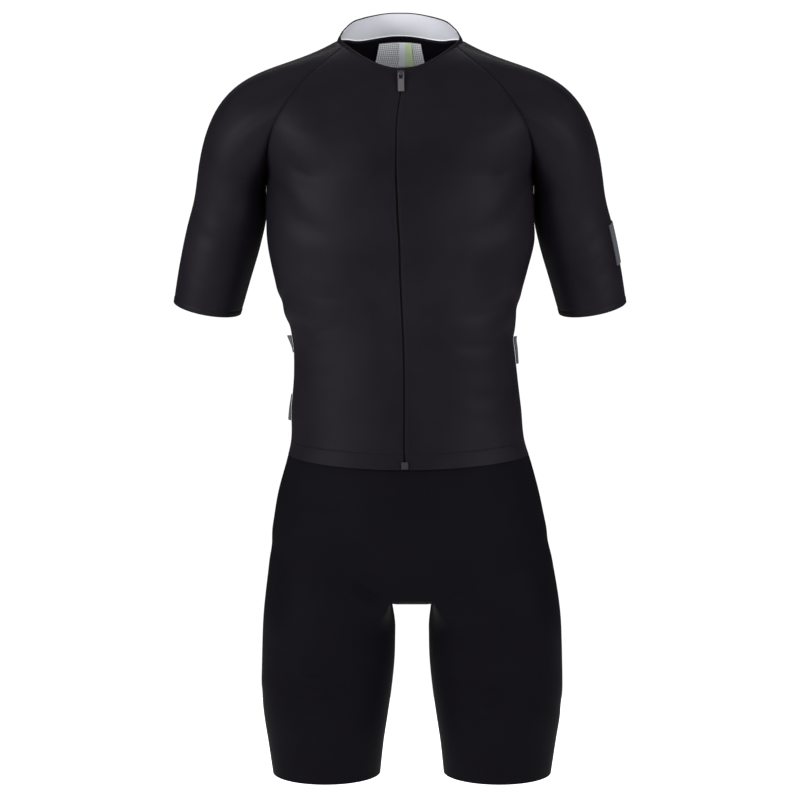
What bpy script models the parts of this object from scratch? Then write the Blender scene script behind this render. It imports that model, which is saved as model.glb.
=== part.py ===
"""Short-sleeved cycling skinsuit, standing open in its worn form with nobody in it.

Tables are in millimetres and degrees, and meshes are in metres. +X is the viewer's right, the
front faces -Y and +Z is up. The origin is in the neck opening, at the level where the wearer's
neck and shoulders carry the suit. Right and left in the names are the wearer's.
"""

import math

import bmesh
import bpy
import numpy as np
from mathutils import Matrix, Vector

MM = 0.001

# Cloth and seams
JERSEY_WALL = 1.2
SHORTS_WALL = 1.4
COLLAR_WALL = 1.2
SEAM_HALF_GAP = 0.15
SEATING_GAP = 0.3
HEM_EDGE_GAP = 0.6
ZIP_HALF_SLOT = 1.5
SHARP_ANGLE = 35
SHARED_NORMAL_LIMIT = 0.5
CORNER_LIMIT = 0.3

# Levels of the main lines
UNDERARM_Z = -172
FRONT_NECK_Z = -42
BACK_NECK_Z = 4
HEM_CENTRE_Z = -532
WAIST_SEAM_Z = -524
INNER_LAYER_EDGE_ANGLE = 78
TUCK_DEPTH = 3.0
TUCK_FADE = 60
LEG_RING_Z = -750
LEG_HEM_Z = -935
GUSSET_SAG = 19
GUSSET_HANDLE = 24

# How finely the cloth is divided
FRONT_ANGLES = (0, 7.5, 19, 31, 43, 55, 67, INNER_LAYER_EDGE_ANGLE, 90)
YOKE_SHARES = (0, 0.14, 0.28, 0.41, 0.53, 0.64, 0.74, 0.83, 0.92, 1)
NECK_SEGMENTS = 4
TRUNK_ROWS = 11
INNER_LAYER_ROWS = 2
HIP_ROWS = 5
SHOULDER_ROWS = 7
SLEEVE_ROWS = 6
THIGH_ROWS = 4
LEG_ROWS = 6
INSEAM_COLUMNS = 6
GUSSET_ROWS = 6
COLLAR_ROWS = 2


def table(names, *rows):
    """A short table, kept as one array for each named column."""
    return dict(zip(names.split(), np.array(rows, float).T))


# Level sections of the trunk. centre: sideways drift of the section; zip: x of the centre front;
# half: half breadth; side: y of the side seam; front and back: y of the centre lines;
# full_front and full_back: fullness of the quarters, 0.55 being an ellipse. The first row only
# sets the slope at the underarm.
TRUNK = table(
    "z centre zip half side front back full_front full_back",
    (-140, 0, -5, 168.2, 16, -103, 111.5, 0.60, 0.60),
    (-172, 0, -5, 168.5, 13, -110, 114, 0.60, 0.60),
    (-195, 0, -4, 168.7, 10, -113, 115, 0.60, 0.60),
    (-220, 0, -3, 168.8, 7, -114, 114, 0.59, 0.60),
    (-250, 1, -1, 169, 4, -113, 110, 0.58, 0.59),
    (-290, 0, 0, 161, 2, -109, 103, 0.57, 0.58),
    (-331, 0, 2, 150, 0, -104, 96, 0.57, 0.57),
    (-375, 4, 4, 140.5, 0, -101, 91, 0.57, 0.57),
    (-420, 7, 5, 141.5, 0, -99, 91, 0.57, 0.57),
    (-465, 8, 5, 146, 2, -99, 96, 0.57, 0.57),
    (-508, 10, 5, 149, 4, -101, 106, 0.57, 0.58),
    (-530, 11, 6, 155, 5, -102, 111, 0.57, 0.58),
    (-570, 11, 9, 166, 7, -105, 121, 0.57, 0.58),
    (-616, 12, 12, 174.5, 8, -107, 128, 0.58, 0.58),
    (-650, 13.5, 14, 179.5, 8, -104, 127, 0.58, 0.58),
    (-675, 14.5, 14.5, 184, 8, -98, 119, 0.58, 0.58),
    (-700, 15, 15, 187.5, 8, -84, 100, 0.58, 0.58),
)

# Centre line of the chest and of the upper back, above the underarm level.
# The last row is one of the trunk's, so that both run on into each other.
CHEST_LINE = table(
    "z y x",
    (-42, -67, 1), (-64, -78, 1), (-101, -92, -4), (-140, -103, -5), (-172, -110, -5), (-195, -113, -4),
)
BACK_LINE = table(
    "z y",
    (4, 64), (-20, 74), (-50, 87), (-85, 99), (-110, 107), (-140, 111.5), (-172, 114), (-195, 115),
)

# Raglan seams, from the neck (0) to the underarm (1). turn: how far the cloth has turned from
# facing front (or back) to facing sideways; reach: length over which it does so; rise: its climb;
# bow: how far the cloth runs straight out from the centre line, as a share of the seam's x.
# The last row of each agrees with the trunk's first section.
FRONT_RAGLAN = table(
    "share x y z bow turn reach rise",
    (0.00, 70, -33, -11, 0.40, 50, 20, 0.30),
    (0.14, 91, -46, -28, 0.36, 36, 26, 0.12),
    (0.32, 119, -58, -53, 0.34, 25, 33, 0.05),
    (0.48, 137, -67, -76, 0.34, 27, 36, 0.02),
    (0.62, 151, -69, -98, 0.36, 36, 39, 0.00),
    (0.76, 160, -61, -120, 0.42, 51, 45, 0.00),
    (0.88, 165.5, -38, -145, 0.49, 66, 54, 0.00),
    (1.00, 168.5, 13, -172, 0.60, 90, 73.8, 0.00),
)
BACK_RAGLAN = table(
    "share x y z bow turn reach rise",
    (0.00, 62, 36, -3, 0.45, 44, 20, 0.10),
    (0.14, 82, 56, -20, 0.36, 31, 25, 0.08),
    (0.32, 110, 74, -46, 0.34, 21, 33, 0.04),
    (0.48, 131, 83, -71, 0.33, 19, 36, 0.02),
    (0.62, 147, 86, -95, 0.34, 25, 36, 0.00),
    (0.76, 158, 79, -119, 0.38, 38, 39, 0.00),
    (0.88, 164.5, 57, -145, 0.46, 56, 45, 0.00),
    (1.00, 168.5, 13, -172, 0.60, 90, 60.6, 0.00),
)
NECK_SIDE = (79, -2, -3)
SHOULDER_SLOPE = (0.86, 0.02, -0.51)
NECK_TURN = 150
SEAM_FAN = 0.55

# How far the cloth runs straight on where a sleeve or thigh starts and ends, as a share of its length
SHOULDER_START = 0.38
SHOULDER_END = 0.33
SHOULDER_OVERHANG = 0.28
THIGH_STRAIGHT = 0.34

# Sleeve sections. inner and outer: the section's ends in front view; y: its middle; depth: half
# its depth front to back; drop: how much lower its front is than its middle.
SLEEVE = table(
    "place inner_x inner_z outer_x outer_z y depth drop",
    (0.00, 169.8, -197, 256.5, -168, 26, 61, 6),
    (0.20, 169.8, -222, 261.5, -199, 32, 57, 7),
    (0.45, 177.5, -258, 272, -238, 36, 53, 8),
    (0.75, 191.8, -306, 282.5, -287, 40, 49, 8),
    (1.00, 204, -347, 290, -331, 44, 46, 8),
)

# Leg sections. outer and inner: half breadths from the suit's centre line.
LEG = table(
    "z outer inner front back",
    (-750, 191.5, 21.2, -93, 98),
    (-784, 192.5, 22, -90, 91),
    (-829, 192.7, 26.5, -86, 82),
    (-860, 190, 31, -82, 76),
    (-893, 185, 36, -77, 70),
    (-935, 179, 40.5, -72, 65),
)
LEG_CENTRE = 15.5

# Line where the trunk ends and the thighs begin: the crease of the groin, the hip and the seat.
LEG_LINE = table(
    "angle z",
    (0, -698), (7.5, -698), (19, -691), (31, -674), (43, -659), (55, -648), (67, -642), (90, -640),
    (113, -642), (125, -648), (137, -659), (149, -673), (161, -685), (172.5, -690), (180, -690),
)
GROIN_TURN = 48

# Height of the collar stand along the neckline, from the centre front (0) to the centre back (1).
COLLAR = table(
    "share height lean",
    (0.00, 2.6, 0.15),
    (0.34, 2.6, 0.25),
    (0.44, 6, 0.50),
    (0.54, 14.5, 0.58),
    (0.64, 24, 0.40),
    (0.74, 30.5, 0.25),
    (0.86, 32, 0.12),
    (1.00, 31.5, 0.10),
)


def read(source, name, at):
    """A smooth curve through one column of a table, read along the table's first column."""
    keys = next(iter(source.values()))
    values = source[name]
    if keys[0] > keys[-1]:
        keys, values = keys[::-1], values[::-1]
    slopes = np.gradient(values, keys)
    at = min(max(at, keys[0]), keys[-1])
    i = min(max(int(np.searchsorted(keys, at)) - 1, 0), len(keys) - 2)
    gap = keys[i + 1] - keys[i]
    s = (at - keys[i]) / gap
    rise = s * s * (3 - 2 * s)
    return (
        values[i] * (1 - rise)
        + values[i + 1] * rise
        + gap * s * (1 - s) * ((1 - s) * slopes[i] - s * slopes[i + 1])
    )


def vec(x, y, z):
    return np.array((x, y, z), float)


def unit(v):
    return v / np.linalg.norm(v)


def mix(a, b, share):
    return a + (b - a) * share


def ease(start, end, at):
    """0 before start, 1 after end, and a soft step between."""
    s = min(max((at - start) / (end - start), 0.0), 1.0)
    return s * s * (3 - 2 * s)


def bezier(a, b, c, d, t):
    s = 1 - t
    return s**3 * a + 3 * s * s * t * b + 3 * s * t * t * c + t**3 * d


def steps(count):
    return [i / count for i in range(count + 1)]


def trunk(side, angle, z, tuck=0.0):
    """Point of the trunk: 0 degrees is the centre front, 90 the side seam, 180 the centre back."""
    half = read(TRUNK, "half", z) - tuck
    centre = read(TRUNK, "centre", z)
    flank = vec(centre + side * half, read(TRUNK, "side", z), z)
    if angle <= 90:
        middle = vec(read(TRUNK, "zip", z), read(TRUNK, "front", z) + tuck, z)
        full = read(TRUNK, "full_front", z)
        turned = angle / 90
    else:
        middle = vec(centre, read(TRUNK, "back", z) - tuck, z)
        full = read(TRUNK, "full_back", z)
        turned = (180 - angle) / 90
    across = middle + vec(side * full * half, 0, 0)
    round_side = flank + vec(0, full * (middle[1] - flank[1]), 0)
    return bezier(middle, across, round_side, flank, turned)


def raglan(seam, side, share):
    x, y, z = (read(seam, name, share) for name in ("x", "y", "z"))
    return vec(side * x, y, z)


def raglan_row_direction(seam, side, share):
    """Direction of the front's or back's cloth across its raglan seam, away from the centre."""
    turn = math.radians(read(seam, "turn", share))
    backward = 1 if seam is FRONT_RAGLAN else -1
    return vec(side * math.cos(turn), backward * math.sin(turn), read(seam, "rise", share))


def yoke(seam, side, share, across):
    """Point of the chest or upper back: share runs down from the neckline, across from the centre."""
    if seam is FRONT_RAGLAN:
        z = mix(FRONT_NECK_Z, UNDERARM_Z, share)
        middle = vec(read(CHEST_LINE, "x", z), read(CHEST_LINE, "y", z), z)
    else:
        z = mix(BACK_NECK_Z, UNDERARM_Z, share)
        middle = vec(0, read(BACK_LINE, "y", z), z)
    end = raglan(seam, side, share)
    reach = read(seam, "reach", share)
    near_middle = middle + vec(read(seam, "bow", share) * end[0], 0, 0)
    near_end = end - reach * raglan_row_direction(seam, side, share)
    return bezier(middle, near_middle, near_end, end, across)


def neck_side(side, share):
    """Neckline over the shoulder, from the front raglan seam (0) to the back one (1)."""
    start = raglan(FRONT_RAGLAN, side, 0)
    end = raglan(BACK_RAGLAN, side, 0)
    x, y, z = NECK_SIDE
    middle = vec(side * x, y, z)
    handle = 2 * middle - 0.5 * (start + end)
    return (1 - share) ** 2 * start + 2 * share * (1 - share) * handle + share**2 * end


def sleeve_ring(side, turn, place):
    """Point of the sleeve: turn 0 is the underarm, 90 the front, 180 the outer side, 270 the back."""
    inner = vec(read(SLEEVE, "inner_x", place), read(SLEEVE, "y", place), read(SLEEVE, "inner_z", place))
    outer = vec(read(SLEEVE, "outer_x", place), inner[1], read(SLEEVE, "outer_z", place))
    angle = math.radians(turn)
    forward = vec(0, -read(SLEEVE, "depth", place), -read(SLEEVE, "drop", place))
    point = 0.5 * (inner + outer) - 0.5 * math.cos(angle) * (outer - inner) + math.sin(angle) * forward
    return point * vec(side, 1, 1)


def sleeve_start(side, lap):
    """Start of a sleeve column and the direction in which the cloth leaves it.

    lap runs round the armhole: 0 to 1 up the front seam, 1 to 2 along the neck, 2 to 3 down the back.
    """
    if lap <= 1 or lap >= 2:
        seam = FRONT_RAGLAN if lap <= 1 else BACK_RAGLAN
        share = 1 - lap if lap <= 1 else lap - 2
        start = raglan(seam, side, share)
        along = raglan(seam, side, min(share + 0.02, 1)) - raglan(seam, side, max(share - 0.02, 0))
        normal = unit(np.cross(along, raglan_row_direction(seam, side, share)))
        return start, normal, ease(0.55, 0.95, share)
    start = neck_side(side, lap - 1)
    along = neck_side(side, min(lap - 0.98, 1)) - neck_side(side, max(lap - 1.02, 0))
    normal = unit(np.cross(along, vec(*SHOULDER_SLOPE) * vec(side, 1, 1)))
    return start, normal, 0.0


def sleeve_turn(lap):
    """Where a column of the sleeve meets its tube, fanned out so that it crosses the raglan seam."""
    if lap <= 1:
        return NECK_TURN * lap**SEAM_FAN
    if lap >= 2:
        return 360 - NECK_TURN * (3 - lap) ** SEAM_FAN
    return mix(NECK_TURN, 360 - NECK_TURN, lap - 1)


def sleeve(side, lap, turn, down):
    """Point of the sleeve: down 0 to 1 is the shoulder and upper arm, 1 to 2 the tube to the cuff."""
    if down >= 1:
        return sleeve_ring(side, turn, down - 1)
    start, normal, fold = sleeve_start(side, lap)
    end = sleeve_ring(side, turn, 0)
    chord = end - start
    length = np.linalg.norm(chord)
    flat = chord - normal * np.dot(chord, normal)
    leave = unit(mix(flat, chord, fold))
    arrive = unit(sleeve_ring(side, turn, 0.1) - end)
    overhang = 0.5 - 0.5 * math.cos(math.radians(turn))
    near_start = start + leave * length * SHOULDER_START
    near_end = end - arrive * length * (SHOULDER_END + SHOULDER_OVERHANG * overhang)
    return bezier(start, near_start, near_end, end, down)


def leg_ring(side, turn, z):
    """Point of the leg: turn 0 is the inseam, 90 the front, 180 the outer side, 270 the back."""
    outer, inner = read(LEG, "outer", z), read(LEG, "inner", z)
    front, back = read(LEG, "front", z), read(LEG, "back", z)
    angle = math.radians(turn)
    x = 0.5 * (outer + inner) - 0.5 * (outer - inner) * math.cos(angle)
    y = 0.5 * (front + back) - 0.5 * (back - front) * math.sin(angle)
    return vec(LEG_CENTRE + side * x, y, z)


def gusset(side, across, along):
    """Strip between the legs: across 0 is its middle and 1 its edge, along 0 is front and 1 back."""
    edge = FRONT_ANGLES[1]
    front = trunk(side, across * edge, read(LEG_LINE, "z", 0))
    back = trunk(side, 180 - across * edge, read(LEG_LINE, "z", 180))
    under_front = front + vec(0, GUSSET_HANDLE, -GUSSET_SAG)
    under_back = back + vec(0, -GUSSET_HANDLE, -GUSSET_SAG - (back[2] - front[2]))
    return bezier(front, under_front, under_back, back, along)


def thigh(side, angle, turn, down):
    """Point of the thigh, from the leg line (0) to the leg's first level section (1)."""
    if angle is None:
        along = 0.5 - 0.5 * turn / GROIN_TURN
        start = gusset(side, 1, along)
        normal, fold = vec(0, 0, 1), 1.0
    else:
        z = read(LEG_LINE, "z", angle)
        start = trunk(side, angle, z)
        across = trunk(side, min(angle + 2, 180), z) - trunk(side, max(angle - 2, 0), z)
        upward = trunk(side, angle, z + 5) - trunk(side, angle, z - 5)
        normal = unit(np.cross(across, upward))
        fold = 1 - ease(10, 45, min(angle, 180 - angle))
    end = leg_ring(side, turn, LEG_RING_Z)
    chord = end - start
    length = np.linalg.norm(chord)
    flat = chord - normal * np.dot(chord, normal)
    leave = unit(mix(flat, chord, fold))
    arrive = unit(leg_ring(side, turn, LEG_RING_Z - 8) - end)
    straight = length * THIGH_STRAIGHT
    return bezier(start, start + leave * straight, end - arrive * straight, end, down)


def all_angles():
    """Column angles from the centre front round to the centre back."""
    return list(FRONT_ANGLES) + [180 - a for a in reversed(FRONT_ANGLES[:-1])]


def leg_columns():
    """Columns round one thigh, from the inseam by the front: an angle on the trunk and a turn."""
    outer = [a for a in all_angles() if FRONT_ANGLES[0] < a < 180]
    half = INSEAM_COLUMNS // 2
    front_inner = [(None, GROIN_TURN * i / half) for i in range(half)]
    back_inner = [(None, -GROIN_TURN * (half - i) / half) for i in range(1, half + 1)]
    span = 360 - 2 * GROIN_TURN
    sweep = [(a, GROIN_TURN + span * i / (len(outer) - 1)) for i, a in enumerate(outer)]
    return front_inner + sweep + back_inner


def jersey_hem(angle):
    """Level of the jersey's lower edge: a little lower at the zip, and the waist seam at the back."""
    if angle > 90:
        return WAIST_SEAM_Z
    return mix(HEM_CENTRE_Z, WAIST_SEAM_Z, ease(0, 90, angle))


def tuck_at(angle, z):
    """How far the shorts lie inside the trunk's surface, to pass under the jersey's hem."""
    round_front = 1 - ease(INNER_LAYER_EDGE_ANGLE, 90, angle)
    if angle > 90:
        round_front = 0
    return TUCK_DEPTH * round_front * (1 - ease(-HEM_CENTRE_Z + 4, -HEM_CENTRE_Z + TUCK_FADE, -z))


def jersey_front_grid(side):
    angles = FRONT_ANGLES
    upper = [
        [yoke(FRONT_RAGLAN, side, s, a / 90) for a in angles]
        for s in YOKE_SHARES[:-1]
    ]
    lower = [
        [trunk(side, a, mix(UNDERARM_Z, jersey_hem(a), s)) for a in angles]
        for s in steps(TRUNK_ROWS)
    ]
    return upper + lower


def jersey_back_grid(side):
    angles = [180 - a for a in reversed(FRONT_ANGLES)]
    upper = [
        [yoke(BACK_RAGLAN, side, s, (180 - a) / 90) for a in angles]
        for s in YOKE_SHARES[:-1]
    ]
    lower = [
        [trunk(side, a, mix(UNDERARM_Z, WAIST_SEAM_Z, s)) for a in angles]
        for s in steps(TRUNK_ROWS)
    ]
    return upper + lower


def sleeve_grid(side):
    laps = [1 - s for s in YOKE_SHARES[:0:-1]]
    laps += [1 + s for s in steps(NECK_SEGMENTS)[:-1]]
    laps += [2 + s for s in YOKE_SHARES]
    downs = steps(SHOULDER_ROWS) + [1 + s for s in steps(SLEEVE_ROWS)[1:]]
    return [[sleeve(side, lap, sleeve_turn(lap), down) for lap in laps] for down in downs]


def shorts_point(side, angle, z):
    return trunk(side, angle, z, tuck_at(angle, z))


def inner_layer_grid(side):
    """The top of the shorts' front, behind the last rows of the jersey's grid."""
    angles = [a for a in FRONT_ANGLES if a <= INNER_LAYER_EDGE_ANGLE]
    shares = steps(TRUNK_ROWS)[-1 - INNER_LAYER_ROWS :]
    return [[shorts_point(side, a, mix(UNDERARM_Z, jersey_hem(a), s)) for a in angles] for s in shares]


def hip_grid(side, angles):
    return [
        [shorts_point(side, a, mix(jersey_hem(a), read(LEG_LINE, "z", a), s)) for a in angles]
        for s in steps(HIP_ROWS)
    ]


def leg_grid(side, columns):
    upper = [[thigh(side, a, turn, s) for a, turn in columns] for s in steps(THIGH_ROWS)]
    lower = [
        [leg_ring(side, turn, mix(LEG_RING_Z, LEG_HEM_Z, s)) for _, turn in columns]
        for s in steps(LEG_ROWS)[1:]
    ]
    return upper + lower


def gusset_grid():
    return [
        [gusset(-1, 1, s), gusset(1, 0, s), gusset(1, 1, s)]
        for s in steps(GUSSET_ROWS)
    ]


def neckline(side):
    """The neckline's points from the centre front to the centre back, with their share of the way."""
    front = [yoke(FRONT_RAGLAN, side, 0, a / 90) for a in FRONT_ANGLES]
    over = [neck_side(side, i / NECK_SEGMENTS) for i in range(1, NECK_SEGMENTS)]
    back = [yoke(BACK_RAGLAN, side, 0, a / 90) for a in reversed(FRONT_ANGLES)]
    points = front + over + back
    lengths = [0.0]
    for here, after in zip(points, points[1:]):
        lengths.append(lengths[-1] + np.linalg.norm(after - here))
    return points, [length / lengths[-1] for length in lengths]


def collar_point(base, share, up):
    """Point of the stand above a point of the neckline, leaning in towards the neck."""
    inward = unit(vec(-base[0], -base[1], 0))
    height = read(COLLAR, "height", share) * up
    return base + vec(0, 0, height) + inward * height * read(COLLAR, "lean", share)


def collar_grid(side):
    points, shares = neckline(side)
    return [
        [collar_point(p, s, up) for p, s in zip(points, shares)]
        for up in steps(COLLAR_ROWS)
    ]


def add_grid(panel, grid, flip):
    """Add a grid of points to a panel as quads; equal points are joined when the panel is built."""
    for upper, lower in zip(grid, grid[1:]):
        for j in range(len(upper) - 1):
            first, across, last, below = upper[j], upper[j + 1], lower[j + 1], lower[j]
            panel.append([first, below, last, across] if flip else [first, across, last, below])


def cloth_panels():
    """Every panel of cloth as a list of quads on its outer surface."""
    names = (
        "front_right", "front_left", "back", "sleeve_right", "sleeve_left",
        "shorts_front", "shorts_back_right", "shorts_back_left", "gusset", "collar",
    )
    panels = {name: [] for name in names}
    columns = leg_columns()
    seam = next(i for i, (a, _) in enumerate(columns) if a == 90)
    hip_angles = all_angles()
    side_seam = hip_angles.index(90)
    for side, word in ((-1, "right"), (1, "left")):
        flip = side > 0
        add_grid(panels["front_" + word], jersey_front_grid(side), flip)
        add_grid(panels["back"], jersey_back_grid(side), flip)
        add_grid(panels["sleeve_" + word], sleeve_grid(side), flip)
        add_grid(panels["shorts_front"], inner_layer_grid(side), flip)
        add_grid(panels["shorts_front"], hip_grid(side, hip_angles[: side_seam + 1]), flip)
        add_grid(panels["shorts_front"], leg_grid(side, columns[: seam + 1]), flip)
        back = panels["shorts_back_" + word]
        add_grid(back, hip_grid(side, hip_angles[side_seam:]), flip)
        add_grid(back, leg_grid(side, columns[seam:]), flip)
        add_grid(panels["collar"], collar_grid(side), not flip)
    add_grid(panels["gusset"], gusset_grid(), True)
    return panels


def key_of(point):
    return tuple(int(round(value * 1000)) for value in point)


def indexed(quads):
    """Shared points and index quads from a list of quads of points."""
    points, index, faces = [], {}, []
    for quad in quads:
        face = []
        for point in quad:
            key = key_of(point)
            if key not in index:
                index[key] = len(points)
                points.append(point)
            face.append(index[key])
        faces.append(face)
    return np.array(points), faces


def point_normals(points, faces):
    normals = np.zeros_like(points)
    for face in faces:
        corners = points[face]
        normal = np.cross(corners[2] - corners[0], corners[-1] - corners[1])
        normal = normal / max(np.linalg.norm(normal), 1e-9)
        for i in face:
            normals[i] += normal
    return normals / np.linalg.norm(normals, axis=1)[:, None]


def border_edges(faces):
    """Directed edges that only one face uses."""
    edges = {(a, b) for face in faces for a, b in zip(face, face[1:] + face[:1])}
    return [edge for edge in edges if edge[::-1] not in edges]


def share_normals(panels):
    """Give panels that run on smoothly over a seam the same normals there."""
    at_point = {}
    for name, (points, _, normals) in panels.items():
        for i, point in enumerate(points):
            at_point.setdefault(key_of(point), []).append((name, i))
    for users in at_point.values():
        if len(users) < 2:
            continue
        own = [panels[name][2][i].copy() for name, i in users]
        for (name, i), normal in zip(users, own):
            near = [other for other in own if np.dot(other, normal) > SHARED_NORMAL_LIMIT]
            panels[name][2][i] = unit(sum(near))


def inset(points, faces, normals, gap_at):
    """Move a panel's border in along its surface, so that neighbours stand apart at their seam."""
    inward = {}
    for a, b in border_edges(faces):
        for i in (a, b):
            direction = np.cross(normals[i], points[b] - points[a])
            inward.setdefault(i, []).append(unit(direction))
    moved = points.copy()
    for i, directions in inward.items():
        total = sum(directions)
        closeness = np.dot(total, total) / len(directions) ** 2
        moved[i] = points[i] + total / len(directions) / max(closeness, CORNER_LIMIT) * gap_at(points[i])
    return moved


def wall_mesh(name, outer, faces, normals, thickness):
    """A closed wall: the outer surface, the inner one under it, and the rim between.

    Quads are split along the same diagonal on both surfaces, so that the wall keeps its thickness.
    """
    inner = outer - normals * thickness
    count = len(outer)
    halves = [part for f in faces for part in (f[:3], [f[0], *f[2:]]) if len(part) == 3]
    solid_faces = [list(face) for face in halves]
    solid_faces += [[i + count for i in reversed(face)] for face in halves]
    solid_faces += [[b, a, a + count, b + count] for a, b in sorted(border_edges(faces))]
    return solid_mesh(name, np.vstack((outer, inner)), solid_faces)


def solid_mesh(name, points, faces):
    mesh = bpy.data.meshes.new(name)
    mesh.from_pydata([Vector(p) * MM for p in points.tolist()], [], faces)
    mesh.validate()
    mesh.shade_smooth()
    mesh.set_sharp_from_angle(angle=math.radians(SHARP_ANGLE))
    return mesh


def material(name, colour, roughness, metallic=0.0):
    """A Principled material with a linear base colour."""
    made = bpy.data.materials.new(name)
    made.use_nodes = True
    shader = made.node_tree.nodes["Principled BSDF"]
    shader.inputs["Base Color"].default_value = (*colour, 1.0)
    shader.inputs["Roughness"].default_value = roughness
    shader.inputs["Metallic"].default_value = metallic
    return made


def place(name, mesh, finish):
    thing = bpy.data.objects.new(name, mesh)
    bpy.context.collection.objects.link(thing)
    mesh.materials.append(finish)
    return thing


def seam_gap(name):
    """The gap that a panel keeps along its border; the fronts stand further apart at the zip."""
    if not name.startswith("front_"):
        return lambda point: SEAM_HALF_GAP

    def gap_at(point):
        if point[2] <= WAIST_SEAM_Z:
            return HEM_EDGE_GAP
        line = TRUNK if point[2] <= UNDERARM_Z else CHEST_LINE
        middle = read(line, "zip" if line is TRUNK else "x", point[2])
        return ZIP_HALF_SLOT if abs(point[0] - middle) < 1 else SEAM_HALF_GAP

    return gap_at


def build_cloth(finishes):
    panels = {}
    for name, quads in cloth_panels().items():
        points, faces = indexed(quads)
        panels[name] = (points, faces, point_normals(points, faces))
    share_normals(panels)
    for name, (points, faces, normals) in panels.items():
        shorts = name.startswith("shorts") or name == "gusset"
        wall = SHORTS_WALL if shorts else COLLAR_WALL if name == "collar" else JERSEY_WALL
        outer = inset(points, faces, normals, seam_gap(name))
        mesh = wall_mesh(name, outer, faces, normals, wall)
        place(name, mesh, finishes["shorts" if shorts else "jersey"])
    return {
        name: {key_of(point): normal for point, normal in zip(points, normals)}
        for name, (points, _, normals) in panels.items()
    }


# Pieces that lie on a panel or behind it. Places on a panel are rows and columns of its own grid.
ZIP_TAPE_HALF = 9
ZIP_TAPE_WALL = 1.0
ZIP_TAPE_ENDS = (0.25, 19.9)
LINING_WALL = 1.0
LINING_FROM_SHARE = 0.50
LINING_UP = (0.08, 0.96)
PATCH_ROWS = (0, 1.75)
PATCH_COLUMNS = (5, 8)
PATCH_WALL = 1.0
LABEL_ROWS = (0, 1.4)
LABEL_COLUMNS = ((7.78, 8), (6.2, 8))
LABEL_WALL = 1.0
POCKET_ROWS = (15, 19.85)
POCKET_COLUMNS = (1, 8)
POCKET_WALL = 1.2
TAB_WALL = 1.2
CUT_SPACING = 0.05

# Reflective tabs at the pocket's sides, each sewn along its front edge. stand: how far the back
# edge stands off the cloth at the top and at the bottom.
TABS = {
    "tab_right_upper": dict(side=-1, rows=(15.26, 15.94), columns=(0.02, 0.58), stand=(7.0, 1.5)),
    "tab_right_lower": dict(side=-1, rows=(17.62, 18.66), columns=(0.02, 0.50), stand=(1.5, 4.5)),
    "tab_left_upper": dict(side=1, rows=(15.31, 16.4), columns=(0.02, 0.55), stand=(5.0, 4.0)),
}
STRIP_ROWS = (9.35, 11.25)
STRIP_COLUMNS = (9, 11.3)
STRIP_WALL = 1.0


def grounded(coat, grid):
    """A panel's grid with each point's normal put behind it, as one row of six numbers."""
    return [[np.concatenate((p, coat[key_of(p)])) for p in row] for row in grid]


def spot(ground, row, column):
    """Point and normal at a fractional row and column of a panel's grid, on its flat facets."""
    i = min(max(int(math.floor(row)), 0), len(ground) - 2)
    j = min(max(int(math.floor(column)), 0), len(ground[0]) - 2)
    upper = mix(ground[i][j], ground[i][j + 1], column - j)
    lower = mix(ground[i + 1][j], ground[i + 1][j + 1], column - j)
    return mix(upper, lower, row - i)


def cuts(start, end):
    """The ends of a stretch and every whole grid line between them."""
    low, high = min(start, end), max(start, end)
    lines = range(math.ceil(low), math.floor(high) + 1)
    inner = [k for k in lines if low + CUT_SPACING < k < high - CUT_SPACING]
    stops = [low] + inner + [high]
    return stops if start < end else stops[::-1]


def patch_of(ground, rows, columns):
    """The points and normals of a patch of a panel, with every grid line that it covers."""
    return [[spot(ground, row, column) for column in cuts(*columns)] for row in cuts(*rows)]


def laid_sheet(name, patches, lift, wall, finish):
    """A closed sheet over patches of a panel; lift is its underside's height, or one for each place."""
    quads, normal_of = [], {}
    for spots in patches:
        lifts = lift if hasattr(lift, "__len__") else [[lift] * len(row) for row in spots]
        under = [
            [s[:3] + unit(s[3:]) * height for s, height in zip(row, heights)]
            for row, heights in zip(spots, lifts)
        ]
        for row, line in zip(spots, under):
            normal_of.update((key_of(point), unit(s[3:])) for s, point in zip(row, line))
        a, b, c = under[0][0], under[0][1], under[1][0]
        add_grid(quads, under, np.dot(np.cross(b - a, c - a), spots[0][0][3:]) < 0)
    points, faces = indexed(quads)
    normals = np.array([normal_of[key_of(p)] for p in points])
    return place(name, wall_mesh(name, points + normals * wall, faces, normals, wall), finish)


def build_zip_tape(grounds, finish):
    patches = []
    for ground in grounds:
        spots = []
        for row in cuts(*ZIP_TAPE_ENDS):
            centre, beside = spot(ground, row, 0), spot(ground, row, 1)
            edge = mix(centre, beside, ZIP_TAPE_HALF / np.linalg.norm((beside - centre)[:3]))
            spots.append([centre, edge])
        patches.append(spots)
    laid_sheet("zip_tape", patches, -(JERSEY_WALL + SEATING_GAP + ZIP_TAPE_WALL), ZIP_TAPE_WALL, finish)


def build_collar_lining(coat, finish):
    rows = [COLLAR_ROWS * up for up in (LINING_UP[0], 0.5, LINING_UP[1])]
    patches = []
    for side in (-1, 1):
        _, shares = neckline(side)
        first = next(i for i, share in enumerate(shares) if share >= LINING_FROM_SHARE)
        ground = [row[first:] for row in grounded(coat, collar_grid(side))]
        patches.append([[spot(ground, row, j) for j in range(len(ground[0]))] for row in rows])
    laid_sheet("collar_lining", patches, -(COLLAR_WALL + SEATING_GAP + LINING_WALL), LINING_WALL, finish)


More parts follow.
